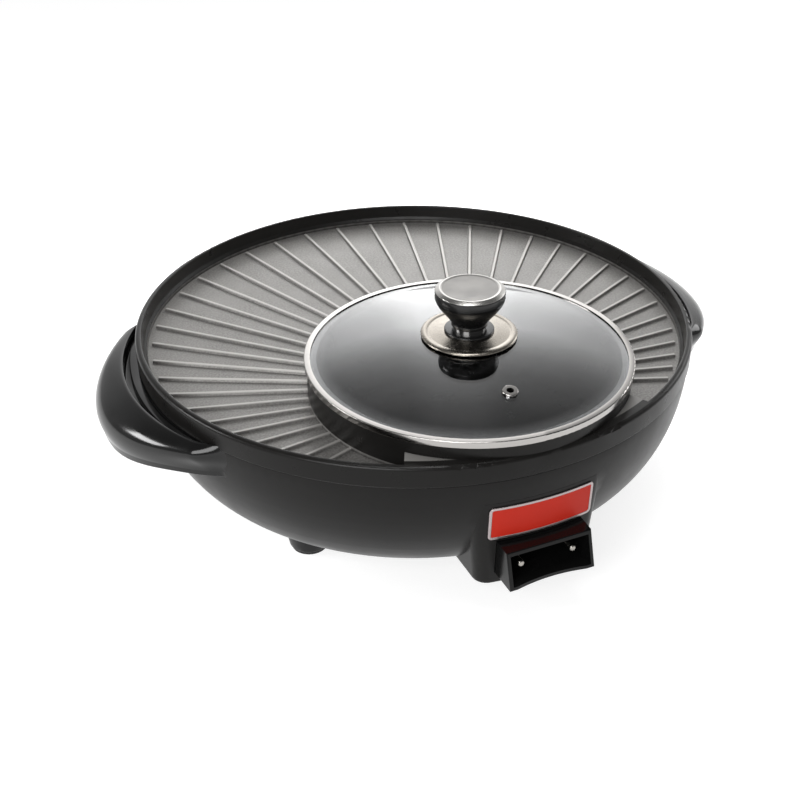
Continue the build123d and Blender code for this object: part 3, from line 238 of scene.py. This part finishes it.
class Finish(Graph):
    """A material whose colour, roughness and grain vary over the object's own coordinates."""

    def __init__(self, name, colour, roughness, metallic=0.0, specular=0.5):
        self.material = bpy.data.materials.new(name)
        self.material.use_nodes = True
        super().__init__(self.material.node_tree)
        self.shader = self.nodes["Principled BSDF"]
        self.place = self.nodes.new("ShaderNodeTexCoord").outputs["Object"]
        self.colour = colour
        self.shader.inputs["Base Color"].default_value = (*colour, 1.0)
        self.shader.inputs["Roughness"].default_value = roughness
        self.shader.inputs["Metallic"].default_value = metallic
        self.shader.inputs["Specular IOR Level"].default_value = specular

    def set(self, socket, value):
        """Links a socket of the shader."""
        self.links.new(value, self.shader.inputs[socket])
        return self

    def noise(self, scale, detail=3.0):
        """Cloudy noise, repeated about scale times in a metre."""
        node = self.nodes.new("ShaderNodeTexNoise")
        node.inputs["Scale"].default_value = scale
        node.inputs["Detail"].default_value = detail
        self.links.new(self.place, node.inputs["Vector"])
        return node.outputs["Fac"]

    def spread(self, factor, low, high, start=0.35, end=0.65):
        """Maps noise, or another factor, between two levels."""
        node = self.nodes.new("ShaderNodeMapRange")
        for socket, value in (("From Min", start), ("From Max", end), ("To Min", low), ("To Max", high)):
            node.inputs[socket].default_value = value
        self.links.new(factor, node.inputs["Value"])
        return node.outputs["Result"]

    def blend(self, factor, a, b):
        """A colour between two others, each a colour or a socket."""
        mix = self.nodes.new("ShaderNodeMix")
        mix.data_type = "RGBA"
        self.links.new(factor, mix.inputs["Factor"])
        for socket, value in (("A", a), ("B", b)):
            self.feed(mix.inputs[socket], (*value, 1.0) if isinstance(value, tuple) else value)
        return mix.outputs["Result"]

    def tint(self, factor, other):
        """Mixes the finish's colour with another one by noise."""
        return self.set("Base Color", self.blend(self.spread(factor, 0.0, 1.0), self.colour, other))

    def polish_range(self, factor, low, high):
        """Lets the roughness wander between two levels."""
        return self.set("Roughness", self.spread(factor, low, high))

    def grain(self, factor, strength, depth):
        """Raises the surface a little by noise; depth in millimetres."""
        bump = self.nodes.new("ShaderNodeBump")
        bump.inputs["Strength"].default_value = strength
        bump.inputs["Distance"].default_value = depth * MM
        self.links.new(factor, bump.inputs["Height"])
        return self.set("Normal", bump.outputs["Normal"])

    def height(self):
        """Height above the ground, in metres."""
        return self.along(self.place, "Z")

    def away_from(self, centre_y):
        """Distance in plan from an upright axis on the object's middle line, in metres."""
        shifted = self.vector_math("SUBTRACT", "Vector", self.place, (0.0, centre_y * MM, 0.0))
        flat = self.vector_math("MULTIPLY", "Vector", shifted, (1.0, 1.0, 0.0))
        return self.vector_math("LENGTH", "Value", flat)

    def past(self, value, edge, blend=0.3):
        """0 below an edge in millimetres and 1 above it, with a narrow blend."""
        return self.spread(value, 0.0, 1.0, (edge - blend) * MM, (edge + blend) * MM)

    def under(self, value, edge, blend=0.3):
        """1 below an edge in millimetres and 0 above it, with a narrow blend."""
        return self.spread(value, 1.0, 0.0, (edge - blend) * MM, (edge + blend) * MM)


WALL_FOOT_R = 192.3
WELL_WALL_R = 108.5
BRIDGE_CLEAR = 0.8
FLOOR_UNDER, FLOOR_OVER, FLOOR_EDGE = 0.6, 2.6, 0.2
# Height over the grill floor above which the rib tops get their painted highlight, and its blend
RIB_TOP_H, RIB_TOP_EDGE = 1.3, 0.4
BRIDGE_UNDER = 0.6
# Painted reflection: the pale coat painted onto the ends of the bridge's top, fading out towards its middle
BRIDGE_SHEEN_FADE = (0.030, 0.085)
BRIDGE_PAINTED_SHEEN = 0.55
DARK_COAT = (0.0090, 0.0085, 0.0080)
MOTTLE_DARK = (0.130, 0.126, 0.120)
MOTTLE_PALE = (0.160, 0.156, 0.149)
FLAKES = (0.195, 0.190, 0.182)
# Painted highlight: the lighter colour of the rib tops, standing in for their reflection of the backdrop
RIB_HIGHLIGHT_PAINT = (0.33, 0.321, 0.307)
FLOOR_METAL = 0.45
FLOOR_ROUGHER = 0.08


def casting():
    """Dark coat on rim, band and well; a lighter mottled grey coat on the ribbed grill floor. The rib tops carry
    a painted highlight, a lighter colour above a height. Towards the ends of the front bridge's top the pale coat
    is painted in as a painted reflection, fading to the dark coat at its middle."""
    f = Finish("casting_coats", (0.010, 0.010, 0.010), 0.3, specular=0.18)
    on_floor = f.math(
        "MULTIPLY",
        f.under(f.height(), GRILL_Z + FLOOR_OVER, FLOOR_EDGE),
        f.past(f.height(), GRILL_Z - FLOOR_UNDER, FLOOR_EDGE),
    )
    on_floor = f.math("MULTIPLY", on_floor, f.under(f.away_from(AXIS_Y), WALL_FOOT_R))
    on_floor = f.math("MULTIPLY", on_floor, f.past(f.away_from(WELL_Y), WELL_WALL_R))
    mottle = f.spread(f.noise(30.0, 4.0), 0.0, 1.0, 0.30, 0.70)
    flakes = f.spread(f.noise(700.0, 2.0), 0.0, 1.0, 0.38, 0.62)
    pale = f.blend(mottle, MOTTLE_DARK, MOTTLE_PALE)
    pale = f.blend(flakes, pale, FLAKES)
    # Painted highlight on the rib tops
    pale = f.blend(f.past(f.height(), GRILL_Z + RIB_TOP_H, RIB_TOP_EDGE), pale, RIB_HIGHLIGHT_PAINT)
    on_bridge = f.math(
        "MULTIPLY", f.past(f.height(), RIM_Z - BRIDGE_UNDER), f.under(f.away_from(AXIS_Y), WALL_FOOT_R))
    on_bridge = f.math("MULTIPLY", on_bridge, f.past(f.away_from(WELL_Y), WELL_WALL_R + BRIDGE_CLEAR))
    # Painted reflection towards the bridge's ends, none near its middle
    bridge_sheen = f.spread(f.math("ABSOLUTE", f.along(f.place, "X")), 0.0, BRIDGE_PAINTED_SHEEN, *BRIDGE_SHEEN_FADE)
    # The pale floor coat, plus the painted reflection on the bridge's ends
    floor_coat_and_bridge_sheen = f.math("ADD", on_floor, f.math("MULTIPLY", on_bridge, bridge_sheen), clamp=True)
    f.set("Base Color", f.blend(floor_coat_and_bridge_sheen, DARK_COAT, pale))
    f.set("Metallic", f.math("MULTIPLY", on_floor, FLOOR_METAL))
    rougher = f.math("MULTIPLY", on_floor, FLOOR_ROUGHER)
    f.set("Roughness", f.math("ADD", rougher, f.spread(f.noise(70.0), 0.27, 0.34)))
    return f.grain(f.noise(800.0, 2.0), 0.25, 0.07).material


def housing_plastic():
    """Charcoal moulding with a soft sheen."""
    f = Finish("housing_charcoal", (0.0100, 0.0095, 0.0092), 0.32, specular=0.16)
    f.tint(f.noise(14.0), (0.0120, 0.0115, 0.0110))
    f.polish_range(f.noise(35.0), 0.29, 0.35)
    return f.grain(f.noise(1600.0, 2.0), 0.10, 0.03).material


def black_gloss(name, roughness, level=0.006, specular=0.5):
    """Black moulding, polished."""
    f = Finish(name, (level,) * 3, roughness, specular=specular)
    f.tint(f.noise(20.0), (level * 1.3,) * 3)
    f.polish_range(f.noise(40.0), roughness * 0.8, roughness * 1.3)
    return f.grain(f.noise(120.0), 0.04, 0.04).material


def bright_metal(name, colour, low, high):
    """Metal whose polish wanders a little."""
    f = Finish(name, colour, low, metallic=1.0)
    f.tint(f.noise(30.0), tuple(c * 0.94 for c in colour))
    return f.polish_range(f.noise(300.0, 2.0), low, high).material


CAP_RING = (0.50, 0.49, 0.47)
CAP_DARK = (0.130, 0.126, 0.121)
CAP_PALE = (0.168, 0.163, 0.155)
CAP_MIDDLE_R, CAP_EDGE = 18.6, 0.4


def cap_disc():
    """Satin disc, darker in its dished middle and brighter on the bevelled ring round it."""
    f = Finish("cap_metal", CAP_RING, 0.28, metallic=1.0)
    middle = f.under(f.away_from(WELL_Y), CAP_MIDDLE_R, CAP_EDGE)
    cloud = f.blend(f.spread(f.noise(60.0, 2.0), 0.0, 1.0), CAP_DARK, CAP_PALE)
    f.set("Base Color", f.blend(middle, CAP_RING, cloud))
    return f.polish_range(f.noise(40.0, 2.0), 0.27, 0.31).material


def smoked_glass():
    """Tempered glass with a dark neutral tint."""
    f = Finish("tempered_glass", (0.40, 0.41, 0.42), 0.0)
    f.shader.inputs["Transmission Weight"].default_value = 1.0
    f.shader.inputs["IOR"].default_value = 1.9
    return f.polish_range(f.noise(12.0, 1.0), 0.0, 0.01).material


def plain(name, colour, roughness, variation=1.2, scale=80.0, specular=0.5):
    """A matt moulding, seal or sleeve."""
    f = Finish(name, colour, roughness, specular=specular)
    f.tint(f.noise(scale), tuple(c * variation for c in colour))
    return f.grain(f.noise(scale * 12), 0.2, 0.05).material


coats = casting()
charcoal = housing_plastic()
handle_black = black_gloss("handle_black", 0.14, 0.005, 0.40)
guard_black = black_gloss("guard_black", 0.14, 0.004, 0.22)
knob_black = black_gloss("knob_black", 0.22)
foot_black = black_gloss("foot_black", 0.35, 0.006, 0.25)
stainless = bright_metal("stainless", (0.31, 0.285, 0.25), 0.22, 0.28)
lid_steel = bright_metal("lid_steel", (0.44, 0.425, 0.41), 0.12, 0.18)
chrome = bright_metal("chrome", (0.55, 0.54, 0.53), 0.04, 0.08)
cap_metal = cap_disc()
nickel = bright_metal("pin_nickel", (0.40, 0.38, 0.35), 0.18, 0.28)
zinc = bright_metal("zinc_plate", (0.52, 0.53, 0.54), 0.22, 0.34)
sheet = bright_metal("reflector_sheet", (0.60, 0.60, 0.60), 0.20, 0.32)
element_steel = bright_metal("element_steel", (0.30, 0.29, 0.28), 0.35, 0.50)
label_red = plain("label_red", (0.66, 0.028, 0.012), 0.45, 1.06, 30.0, 0.25)
label_silver = bright_metal("label_silver", (0.46, 0.40, 0.40), 0.36, 0.46)
rubber = plain("foot_rubber", (0.022, 0.022, 0.022), 0.7)
silicone = plain("seal_silicone", (0.05, 0.05, 0.05), 0.5)
phenolic = plain("block_phenolic", (0.006, 0.006, 0.006), 0.5)
sleeving = plain("lead_sleeving", (0.55, 0.52, 0.46), 0.6)
glass = smoked_glass()

for finish, node_names in (
    (coats, ["pan"]),
    (charcoal, ["housing"]),
    (foot_black, ["feet"]),
    (guard_black, ["socket_guard"]),
    (glass, ["lid_glass"]),
    (lid_steel, ["lid_ring", "steam_vent", "screw_washer"]),
    (chrome, ["knob_neck"]),
    (nickel, ["inlet_pins"]),
    (zinc, [
        "element_clips", "clip_screws", "tie_rods", "lower_spacers", "upper_spacers", "rod_washers", "rod_nuts",
        "cover_screws", "handle_screws", "foot_screws", "foot_nuts", "inlet_screws", "knob_screw",
    ]),
    (sheet, ["reflector", "bottom_cover"]),
    (element_steel, ["heating_element", "probe_tube"]),
    (rubber, ["foot_pads"]),
    (silicone, ["knob_gasket", "screw_seal"]),
    (phenolic, ["inlet_block"]),
    (sleeving, ["power_leads"]),
):
    for node_name in node_names:
        dress(node_name, finish)


# Handles: crescent scoops, each a row of closed sections turned about the pan's axis
HANDLE_TOP = RIM_Z - 12.0
HANDLE_DEPTH = 33.0
HANDLE_LOW = HANDLE_TOP - HANDLE_DEPTH
LEDGE_Z = HANDLE_TOP - 6.0
TROUGH_Z = HANDLE_TOP - 12.0
HOLLOW_Z = HANDLE_TOP - 17.0
WALL_STEPS = 7
EDGE_CENTRE, EDGE_REACH, EDGE_WALL = 56.0, 213.0, 2.0
BULGE_CENTRE, BULGE_REACH = 128.0, 234.0
BULGE_LOW_SHARE, BULGE_STEPS = 0.18, 15
LIP_STEP, LIP_WALL = 1.2, 6.2
SEAT_R, SEAT_GAP, LOW_SEAT_GAP = 205.5, 1.5, 2.0
BOWL_R, BOWL_FLOOR_R = 199.0, 145.0
BOWL_GAP, END_SINK = 0.3, 1.2
HANDLE_END, HANDLE_TOP_END = 32.6, 29.8
HANDLE_FADE = 6.5
HANDLE_RISE, RISE_FROM, RISE_OVER = 0.25, 4.0, 18.0
MIDDLE_END, MIDDLE_STEPS, END_STEPS = 23.0, 67, 25
SECTION_EASE = 4

# Height, and the shares of the way from the edge's reach and centre to the bulge's
PROFILE_SHARES = np.array([
    (1.0, 0.0, 0.0), (0.85, 0.50, 0.38), (0.68, 0.82, 0.70),
    (0.50, 0.97, 0.92), (0.34, 0.99, 1.0), (0.18, 0.93, 1.0),
])


def crescent(centre, reach, turn):
    """Radius about the pan's axis of an arc about a centre on X: c cos a + sqrt(R^2 - c^2 sin^2 a)."""
    arm = reach - centre
    return centre * np.cos(turn) + np.sqrt(arm**2 - (centre * np.sin(turn)) ** 2)


def bowl_outside(height):
    """The bowl's outside radius: floor radius plus a quarter ellipse up to the lip."""
    drop = (BOWL_TOP - height) / (BOWL_TOP - FOOT_H)
    return BOWL_FLOOR_R + (BOWL_R - BOWL_FLOOR_R) * np.sqrt(np.clip(1 - drop**2, 0, 1))


def handle_corners(turn):
    """The section's corners in order, each with its radius over the turn, its height and its cut: the inner
    wall on the bowl, the ledge, the trough, the thin edge, the bulge (two quartic curves of height give
    reach and centre), the lip and the finger hollow. The trough's wall stays inside the edge and the seat
    inside the lip."""
    share = np.linspace(1.0, BULGE_LOW_SHARE, BULGE_STEPS)
    reach_share, shift_share = (
        np.polyval(np.polyfit(PROFILE_SHARES[:, 0], PROFILE_SHARES[:, n], 4), share) for n in (1, 2))
    centre = EDGE_CENTRE + (BULGE_CENTRE - EDGE_CENTRE) * shift_share
    reach = EDGE_REACH + (BULGE_REACH - EDGE_REACH) * reach_share
    bulge_z = HANDLE_LOW + HANDLE_DEPTH * share
    bulge_r = crescent(centre[None, :], reach[None, :], turn)
    lip_r = crescent(BULGE_CENTRE, reach[-1] - LIP_STEP, turn)
    edge_in = crescent(EDGE_CENTRE, EDGE_REACH - EDGE_WALL, turn)
    seat = np.minimum(SEAT_R, edge_in - SEAT_GAP)
    low_seat = np.minimum(SEAT_R, lip_r - LOW_SEAT_GAP)
    hollow_r = np.maximum(crescent(BULGE_CENTRE, BULGE_REACH - LIP_WALL, turn), low_seat)
    wall = [(bowl_outside(z) + BOWL_GAP + 0 * turn, z, 0.0) for z in np.linspace(HANDLE_LOW, LEDGE_Z, WALL_STEPS)]
    trough = [(seat, LEDGE_Z, 0.6), (seat, TROUGH_Z, 0.4), (edge_in, TROUGH_Z, 1.0), (edge_in, HANDLE_TOP, 0.5)]
    bulge = [(bulge_r[:, n:n + 1], z, 0.6 if n == 0 else 0.0) for n, z in enumerate(bulge_z)]
    lip = [(lip_r, bulge_z[-1], 0.3), (lip_r, HANDLE_LOW, 0.6)]
    hollow = [
        (hollow_r, HANDLE_LOW, 0.6), (hollow_r, HOLLOW_Z, 3.0),
        (low_seat, HOLLOW_Z, 1.5), (low_seat, HANDLE_LOW, 0.4),
    ]
    return wall + trough + bulge + lip + hollow


def handle_grid(side):
    """Sections over the handle's turn. Towards the ends every depth below the top shrinks by a share that
    follows a smooth step, so the lip rises. Every radius is drawn in to the bowl's by a smooth step over
    the last degrees, which come sooner at the top than at the bottom."""
    turn = np.radians(np.concatenate([
        np.linspace(-HANDLE_END, -MIDDLE_END, END_STEPS)[:-1],
        np.linspace(-MIDDLE_END, MIDDLE_END, MIDDLE_STEPS),
        np.linspace(MIDDLE_END, HANDLE_END, END_STEPS)[1:],
    ]))[:, None]
    off_middle = np.degrees(np.abs(turn))
    radii, heights, cuts = zip(*handle_corners(turn))
    radius = np.concatenate(radii, 1)
    height = np.array(heights)[None, :] + 0 * turn
    end = HANDLE_END + (HANDLE_TOP_END - HANDLE_END) * (height - HANDLE_LOW) / HANDLE_DEPTH
    rise = HANDLE_RISE * smooth_step((off_middle - RISE_FROM) / RISE_OVER)
    height = HANDLE_TOP - (HANDLE_TOP - height) * (1 - rise)
    full = smooth_step((end - off_middle) / HANDLE_FADE)
    rest = bowl_outside(height) + BOWL_GAP - END_SINK * (1 - full)
    radius = rest + (np.maximum(radius, rest) - rest) * full
    section = eased(np.stack([radius, height], -1), cuts, SECTION_EASE)
    angle = turn + (0 if side > 0 else np.pi)
    x = section[..., 0] * np.cos(angle)
    y = AXIS_Y + section[..., 0] * np.sin(angle)
    return pinched(np.stack([x, y, section[..., 1]], -1))


for side, hand in ((1, "right"), (-1, "left")):
    shell(f"{hand}_crescent", handle_grid(side), False, handle_black, "base", [f"{hand}_handle"])


# Knob: turned pieces one on another, in outlines of radius and height with the cut at each corner
def span(node):
    """Lowest height, highest height and radius of a round node, in millimetres."""
    low, high = corners_of(node)
    return low[2], high[2], (high[0] - low[0]) / 2


def knob_piece(name, outline, cuts, material, node, angle=50.0):
    """One turned piece of the knob."""
    shell(name, turned(eased(outline, cuts), WELL_Y), True, material, "lid", [node], angle)


SCREW_R = 2.8
SPIGOT_R = 12.0
SOCKET_R = 14.4
CAP_SPIGOT_R = 14.0
CUP_STEPS = 15
# Height and radius of the cup, as shares of its full height and radius
CUP_SHARES = np.array([(0.0, 0.505), (0.27, 0.65), (0.54, 0.81), (0.75, 0.92), (1.0, 1.0)])
skirt_low, skirt_high, skirt_r = span("knob_skirt")
base_low, base_high, base_r = span("knob_base")
knob_low, knob_high, knob_r = span("knob")
cap_low, cap_high, cap_r = span("knob_cap")
brow_z = cap_high - 7.0
foot_z = knob_low + 2.4

knob_piece("knob_dish", [
    (SCREW_R, skirt_high), (17.5, skirt_high), (27.3, skirt_high - 0.95), (28.6, skirt_high - 0.65),
    (30.6, skirt_high - 0.60), (skirt_r, skirt_high - 1.4), (skirt_r, skirt_low), (skirt_r - 1.0, skirt_low),
    (skirt_r - 1.2, skirt_high - 1.8), (28.6, skirt_high - 1.7), (27.3, skirt_high - 1.9),
    (17.5, skirt_high - 1.0), (SCREW_R, skirt_high - 1.0),
], [0.2, 2.0, 0.7, 0.6, 1.0, 0.7, 0.3, 0.3, 0.5, 0.5, 0.5, 1.0, 0.2], stainless, "knob_skirt", 40.0)

knob_piece("knob_foot", [
    (SCREW_R, base_low), (base_r, base_low), (base_r, base_high), (SCREW_R, base_high),
], [0.1, 0.3, 0.7, 0.1], knob_black, "knob_base")

cup_share = np.linspace(0, 1, CUP_STEPS)
cup_r = knob_r * np.polyval(np.polyfit(CUP_SHARES[:, 0], CUP_SHARES[:, 1], 3), cup_share)
cup_z = foot_z + (brow_z - foot_z) * cup_share
knob_piece("knob_cup", [
    (SCREW_R, knob_low), (SPIGOT_R, knob_low), (SPIGOT_R, foot_z),
    *zip(cup_r, cup_z),
    (knob_r, knob_high), (SOCKET_R, knob_high), (SOCKET_R, knob_high - 1.0), (SCREW_R, knob_high - 1.0),
], [0.1, 0.6, 0.5] + [0.3] * CUP_STEPS + [0.6, 0.2, 0.2, 0.1], knob_black, "knob")

knob_piece("knob_disc", [
    (0.0, cap_low), (CAP_SPIGOT_R, cap_low), (CAP_SPIGOT_R, cap_low + 1.0), (cap_r, cap_low + 1.0),
    (cap_r, cap_low + 1.4), (cap_r - 2.7, cap_high), (cap_r - 3.4, cap_high), (cap_r - 4.4, cap_high - 0.4),
    (0.0, cap_high - 0.4),
], [0.0, 0.2, 0.2, 0.2, 0.5, 0.6, 0.3, 0.6, 0.0], cap_metal, "knob_cap")


# Label: a raised silver border and a bare red panel, both bent round the console's front
label_low, label_high = corners_of("label_plate")
LABEL_HALF_W = (label_high[0] - label_low[0]) / 2
LABEL_MIDDLE = (label_low[2] + label_high[2]) / 2
LABEL_HALF_H = (label_high[2] - label_low[2]) / 2
LABEL_CORNER_R = 3.0
LABEL_BORDER = 1.9
LABEL_BACK = 0.15
BORDER_FRONT = 0.95
PANEL_FRONT = 0.65
PANEL_INSET = 1.5
PANEL_COLUMNS, PANEL_ROWS = 25, 7
CORNER_POINTS, SIDE_POINTS = 9, 18
CONSOLE_LOW_R, CONSOLE_GAIN = 194.5, 3.5
CONSOLE_LOW, CONSOLE_H = 25.0, 66.5


def console_front(height):
    """Radius of the console's front: it draws in evenly towards the bottom."""
    return CONSOLE_LOW_R + CONSOLE_GAIN * (height - CONSOLE_LOW) / CONSOLE_H


def bent(across, height, lift):
    """Wraps flat label coordinates round the front: the angle is the distance across over the radius."""
    radius = console_front(height) + lift
    return np.stack([radius * np.sin(across / radius), AXIS_Y - radius * np.cos(across / radius), height], -1)


def label_border():
    """A rounded rectangle's edge moved in by d: centre + (corner radius - d) along the direction. The
    direction turns at each corner and holds along each side, where the centre travels to the next corner;
    d and the lift go round a small closed section."""
    corners = np.array([(1, 1), (-1, 1), (-1, -1), (1, -1)], float)
    direction, centre = [], []
    for n in range(4):
        direction += [np.linspace(90 * n, 90 * n + 90, CORNER_POINTS), np.full(SIDE_POINTS, 90 * n + 90)]
        side_centres = np.linspace(corners[n], corners[(n + 1) % 4], SIDE_POINTS + 2)[1:-1]
        centre += [np.repeat(corners[n:n + 1], CORNER_POINTS, 0), side_centres]
    direction = np.radians(np.concatenate(direction))[:, None]
    centre = np.concatenate(centre)
    section = eased([
        (0.0, LABEL_BACK), (0.0, BORDER_FRONT), (LABEL_BORDER, BORDER_FRONT), (LABEL_BORDER, LABEL_BACK),
    ], [0.05, 0.35, 0.35, 0.05])
    inset, lift = section[None, :, 0], section[None, :, 1]
    arm = LABEL_CORNER_R - inset
    across = centre[:, :1] * (LABEL_HALF_W - LABEL_CORNER_R) + arm * np.cos(direction)
    height = LABEL_MIDDLE + centre[:, 1:] * (LABEL_HALF_H - LABEL_CORNER_R) + arm * np.sin(direction)
    return bent(across, height, lift)


def label_panel():
    """A flat rectangle: columns across, and round each column up the front face and down the back."""
    across = np.linspace(-1, 1, PANEL_COLUMNS)[:, None] * (LABEL_HALF_W - PANEL_INSET)
    up = np.linspace(-1, 1, PANEL_ROWS) * (LABEL_HALF_H - PANEL_INSET)
    height = LABEL_MIDDLE + np.concatenate([up, up[::-1]])[None, :] + 0 * across
    lift = np.repeat([PANEL_FRONT, LABEL_BACK], PANEL_ROWS)[None, :] + 0 * across
    return pinched(bent(across + 0 * height, height, lift))


shell("label_border", label_border(), True, label_silver, "base", ["label_plate"])
shell("label_panel", label_panel(), False, label_red, "base", ["label_plate"], 30.0)


# Studio
FLOOR_SIZE = 60.0
FLOOR_COLOUR = 0.40
FLOOR_ROUGHNESS = 0.9
FLOOR_LIFT = 0.78


def floor():
    """A wide pale plane under the feet; what the camera, metal and glass see of it is lifted to white."""
    half = FLOOR_SIZE / 2
    mesh = bpy.data.meshes.new("floor")
    corners = [(-half, -half, 0), (half, -half, 0), (half, half, 0), (-half, half, 0)]
    mesh.from_pydata(corners, [], [(0, 1, 2, 3)])
    obj = placed("floor", mesh)
    f = Finish("floor_paint", (FLOOR_COLOUR,) * 3, FLOOR_ROUGHNESS, specular=0.0)
    f.shader.inputs["Emission Color"].default_value = WHITE
    path = f.nodes.new("ShaderNodeLightPath")
    seen = f.math("MAXIMUM", path.outputs["Is Camera Ray"], path.outputs["Is Glossy Ray"])
    seen = f.math("MAXIMUM", seen, path.outputs["Is Transmission Ray"])
    f.set("Emission Strength", f.math("MULTIPLY", seen, FLOOR_LIFT))
    mesh.materials.append(f.material)


# Directions from the object to the backdrop's middle and along the backdrop
BEHIND = (0.413, 0.911, 0.0)
ASIDE = (0.911, -0.413, 0.0)
BACKDROP_LEVEL = 3.4
WALL_LEVEL = 0.32
BACKDROP_UP = [(0.0, 0.85), (0.40, 1.0), (0.48, 0.78), (0.58, 0.48), (0.70, 0.26), (0.82, 0.13), (1.0, 0.06)]
BACKDROP_ASIDE = [(0.0, 1.0), (0.06, 0.95), (0.14, 0.62), (0.32, 0.34), (0.60, 0.10), (1.0, 0.05)]
BACKDROP_FACING = [(0.25, 0.0), (0.60, 1.0)]
WALLS_UP = [(0.0, 1.0), (0.45, 0.75), (0.65, 0.30), (1.0, 0.30)]


def world():
    """Studio walls: a bright low backdrop behind the object, plain walls round it and a dark ceiling."""
    studio = bpy.data.worlds.new("studio")
    bpy.context.scene.world = studio
    studio.use_nodes = True
    g = Graph(studio.node_tree)
    direction = g.nodes.new("ShaderNodeTexCoord").outputs["Generated"]
    up = g.along(direction, "Z")
    facing = g.vector_math("DOT_PRODUCT", "Value", direction, BEHIND)
    aside = g.math("ABSOLUTE", g.vector_math("DOT_PRODUCT", "Value", direction, ASIDE))
    glow = g.math("MULTIPLY", g.ramp(up, BACKDROP_UP), g.ramp(facing, BACKDROP_FACING))
    glow = g.math("MULTIPLY", glow, g.ramp(aside, BACKDROP_ASIDE))
    glow = g.math("MULTIPLY", glow, BACKDROP_LEVEL)
    level = g.math("MULTIPLY_ADD", g.ramp(up, WALLS_UP), WALL_LEVEL, glow)
    background = g.nodes["Background"]
    g.links.new(level, background.inputs["Strength"])
    background.inputs["Color"].default_value = WHITE


def toward(azimuth_deg, elevation_deg):
    """Direction from the object; azimuth 0 is in front of the socket, 90 to the right."""
    azimuth, elevation = math.radians(azimuth_deg), math.radians(elevation_deg)
    return Vector((
        math.sin(azimuth) * math.cos(elevation),
        -math.cos(azimuth) * math.cos(elevation),
        math.sin(elevation),
    ))


def softbox(name, azimuth, elevation, distance, size, power, mirrored=True):
    """A rectangular lamp that faces the object. One that isn't mirrored lights the object without showing
    in its polished surfaces."""
    lamp = bpy.data.lights.new(name, "AREA")
    lamp.shape = "RECTANGLE"
    lamp.size, lamp.size_y = size
    lamp.energy = power
    obj = placed(name, lamp)
    away = toward(azimuth, elevation)
    obj.location = away * distance
    obj.rotation_mode = "QUATERNION"
    obj.rotation_quaternion = away.to_track_quat("Z", "Y")
    obj.visible_camera = False
    obj.visible_glossy = obj.visible_transmission = mirrored


def camera():
    """The photograph's viewpoint, aimed past the rim's centre by a small pan, tilt and roll."""
    data = bpy.data.cameras.new("camera")
    data.lens = LENS
    data.sensor_width = SENSOR
    data.clip_start = 0.01
    data.clip_end = 100.0
    obj = placed("camera", data)
    away = toward(CAMERA_AZIMUTH, CAMERA_ELEVATION)
    obj.location = (Vector((0.0, AXIS_Y, RIM_Z)) + away * CAMERA_DISTANCE) * MM
    turn = (-away).to_track_quat("-Z", "Y")
    turn = turn @ Quaternion((0, 1, 0), math.radians(CAMERA_PAN))
    turn = turn @ Quaternion((1, 0, 0), math.radians(CAMERA_TILT))
    turn = turn @ Quaternion((0, 0, 1), math.radians(-CAMERA_ROLL))
    obj.rotation_mode = "QUATERNION"
    obj.rotation_quaternion = turn
    bpy.context.scene.camera = obj


floor()
world()
softbox("overhead", -24.0, 80.0, 1.7, (0.6, 0.6), 8.0)
softbox("right_side", 100.0, 25.0, 1.7, (0.8, 0.6), 5.0)
softbox("left_side", -111.0, 25.0, 1.7, (0.65, 0.35), 12.0)
softbox("front_fill", -45.0, 32.0, 1.8, (1.0, 0.8), 18.0)
softbox("back_top", 150.0, 30.0, 0.60, (0.4, 0.4), 6.5, False)
camera()
bpy.context.scene.view_settings.view_transform = "Standard"
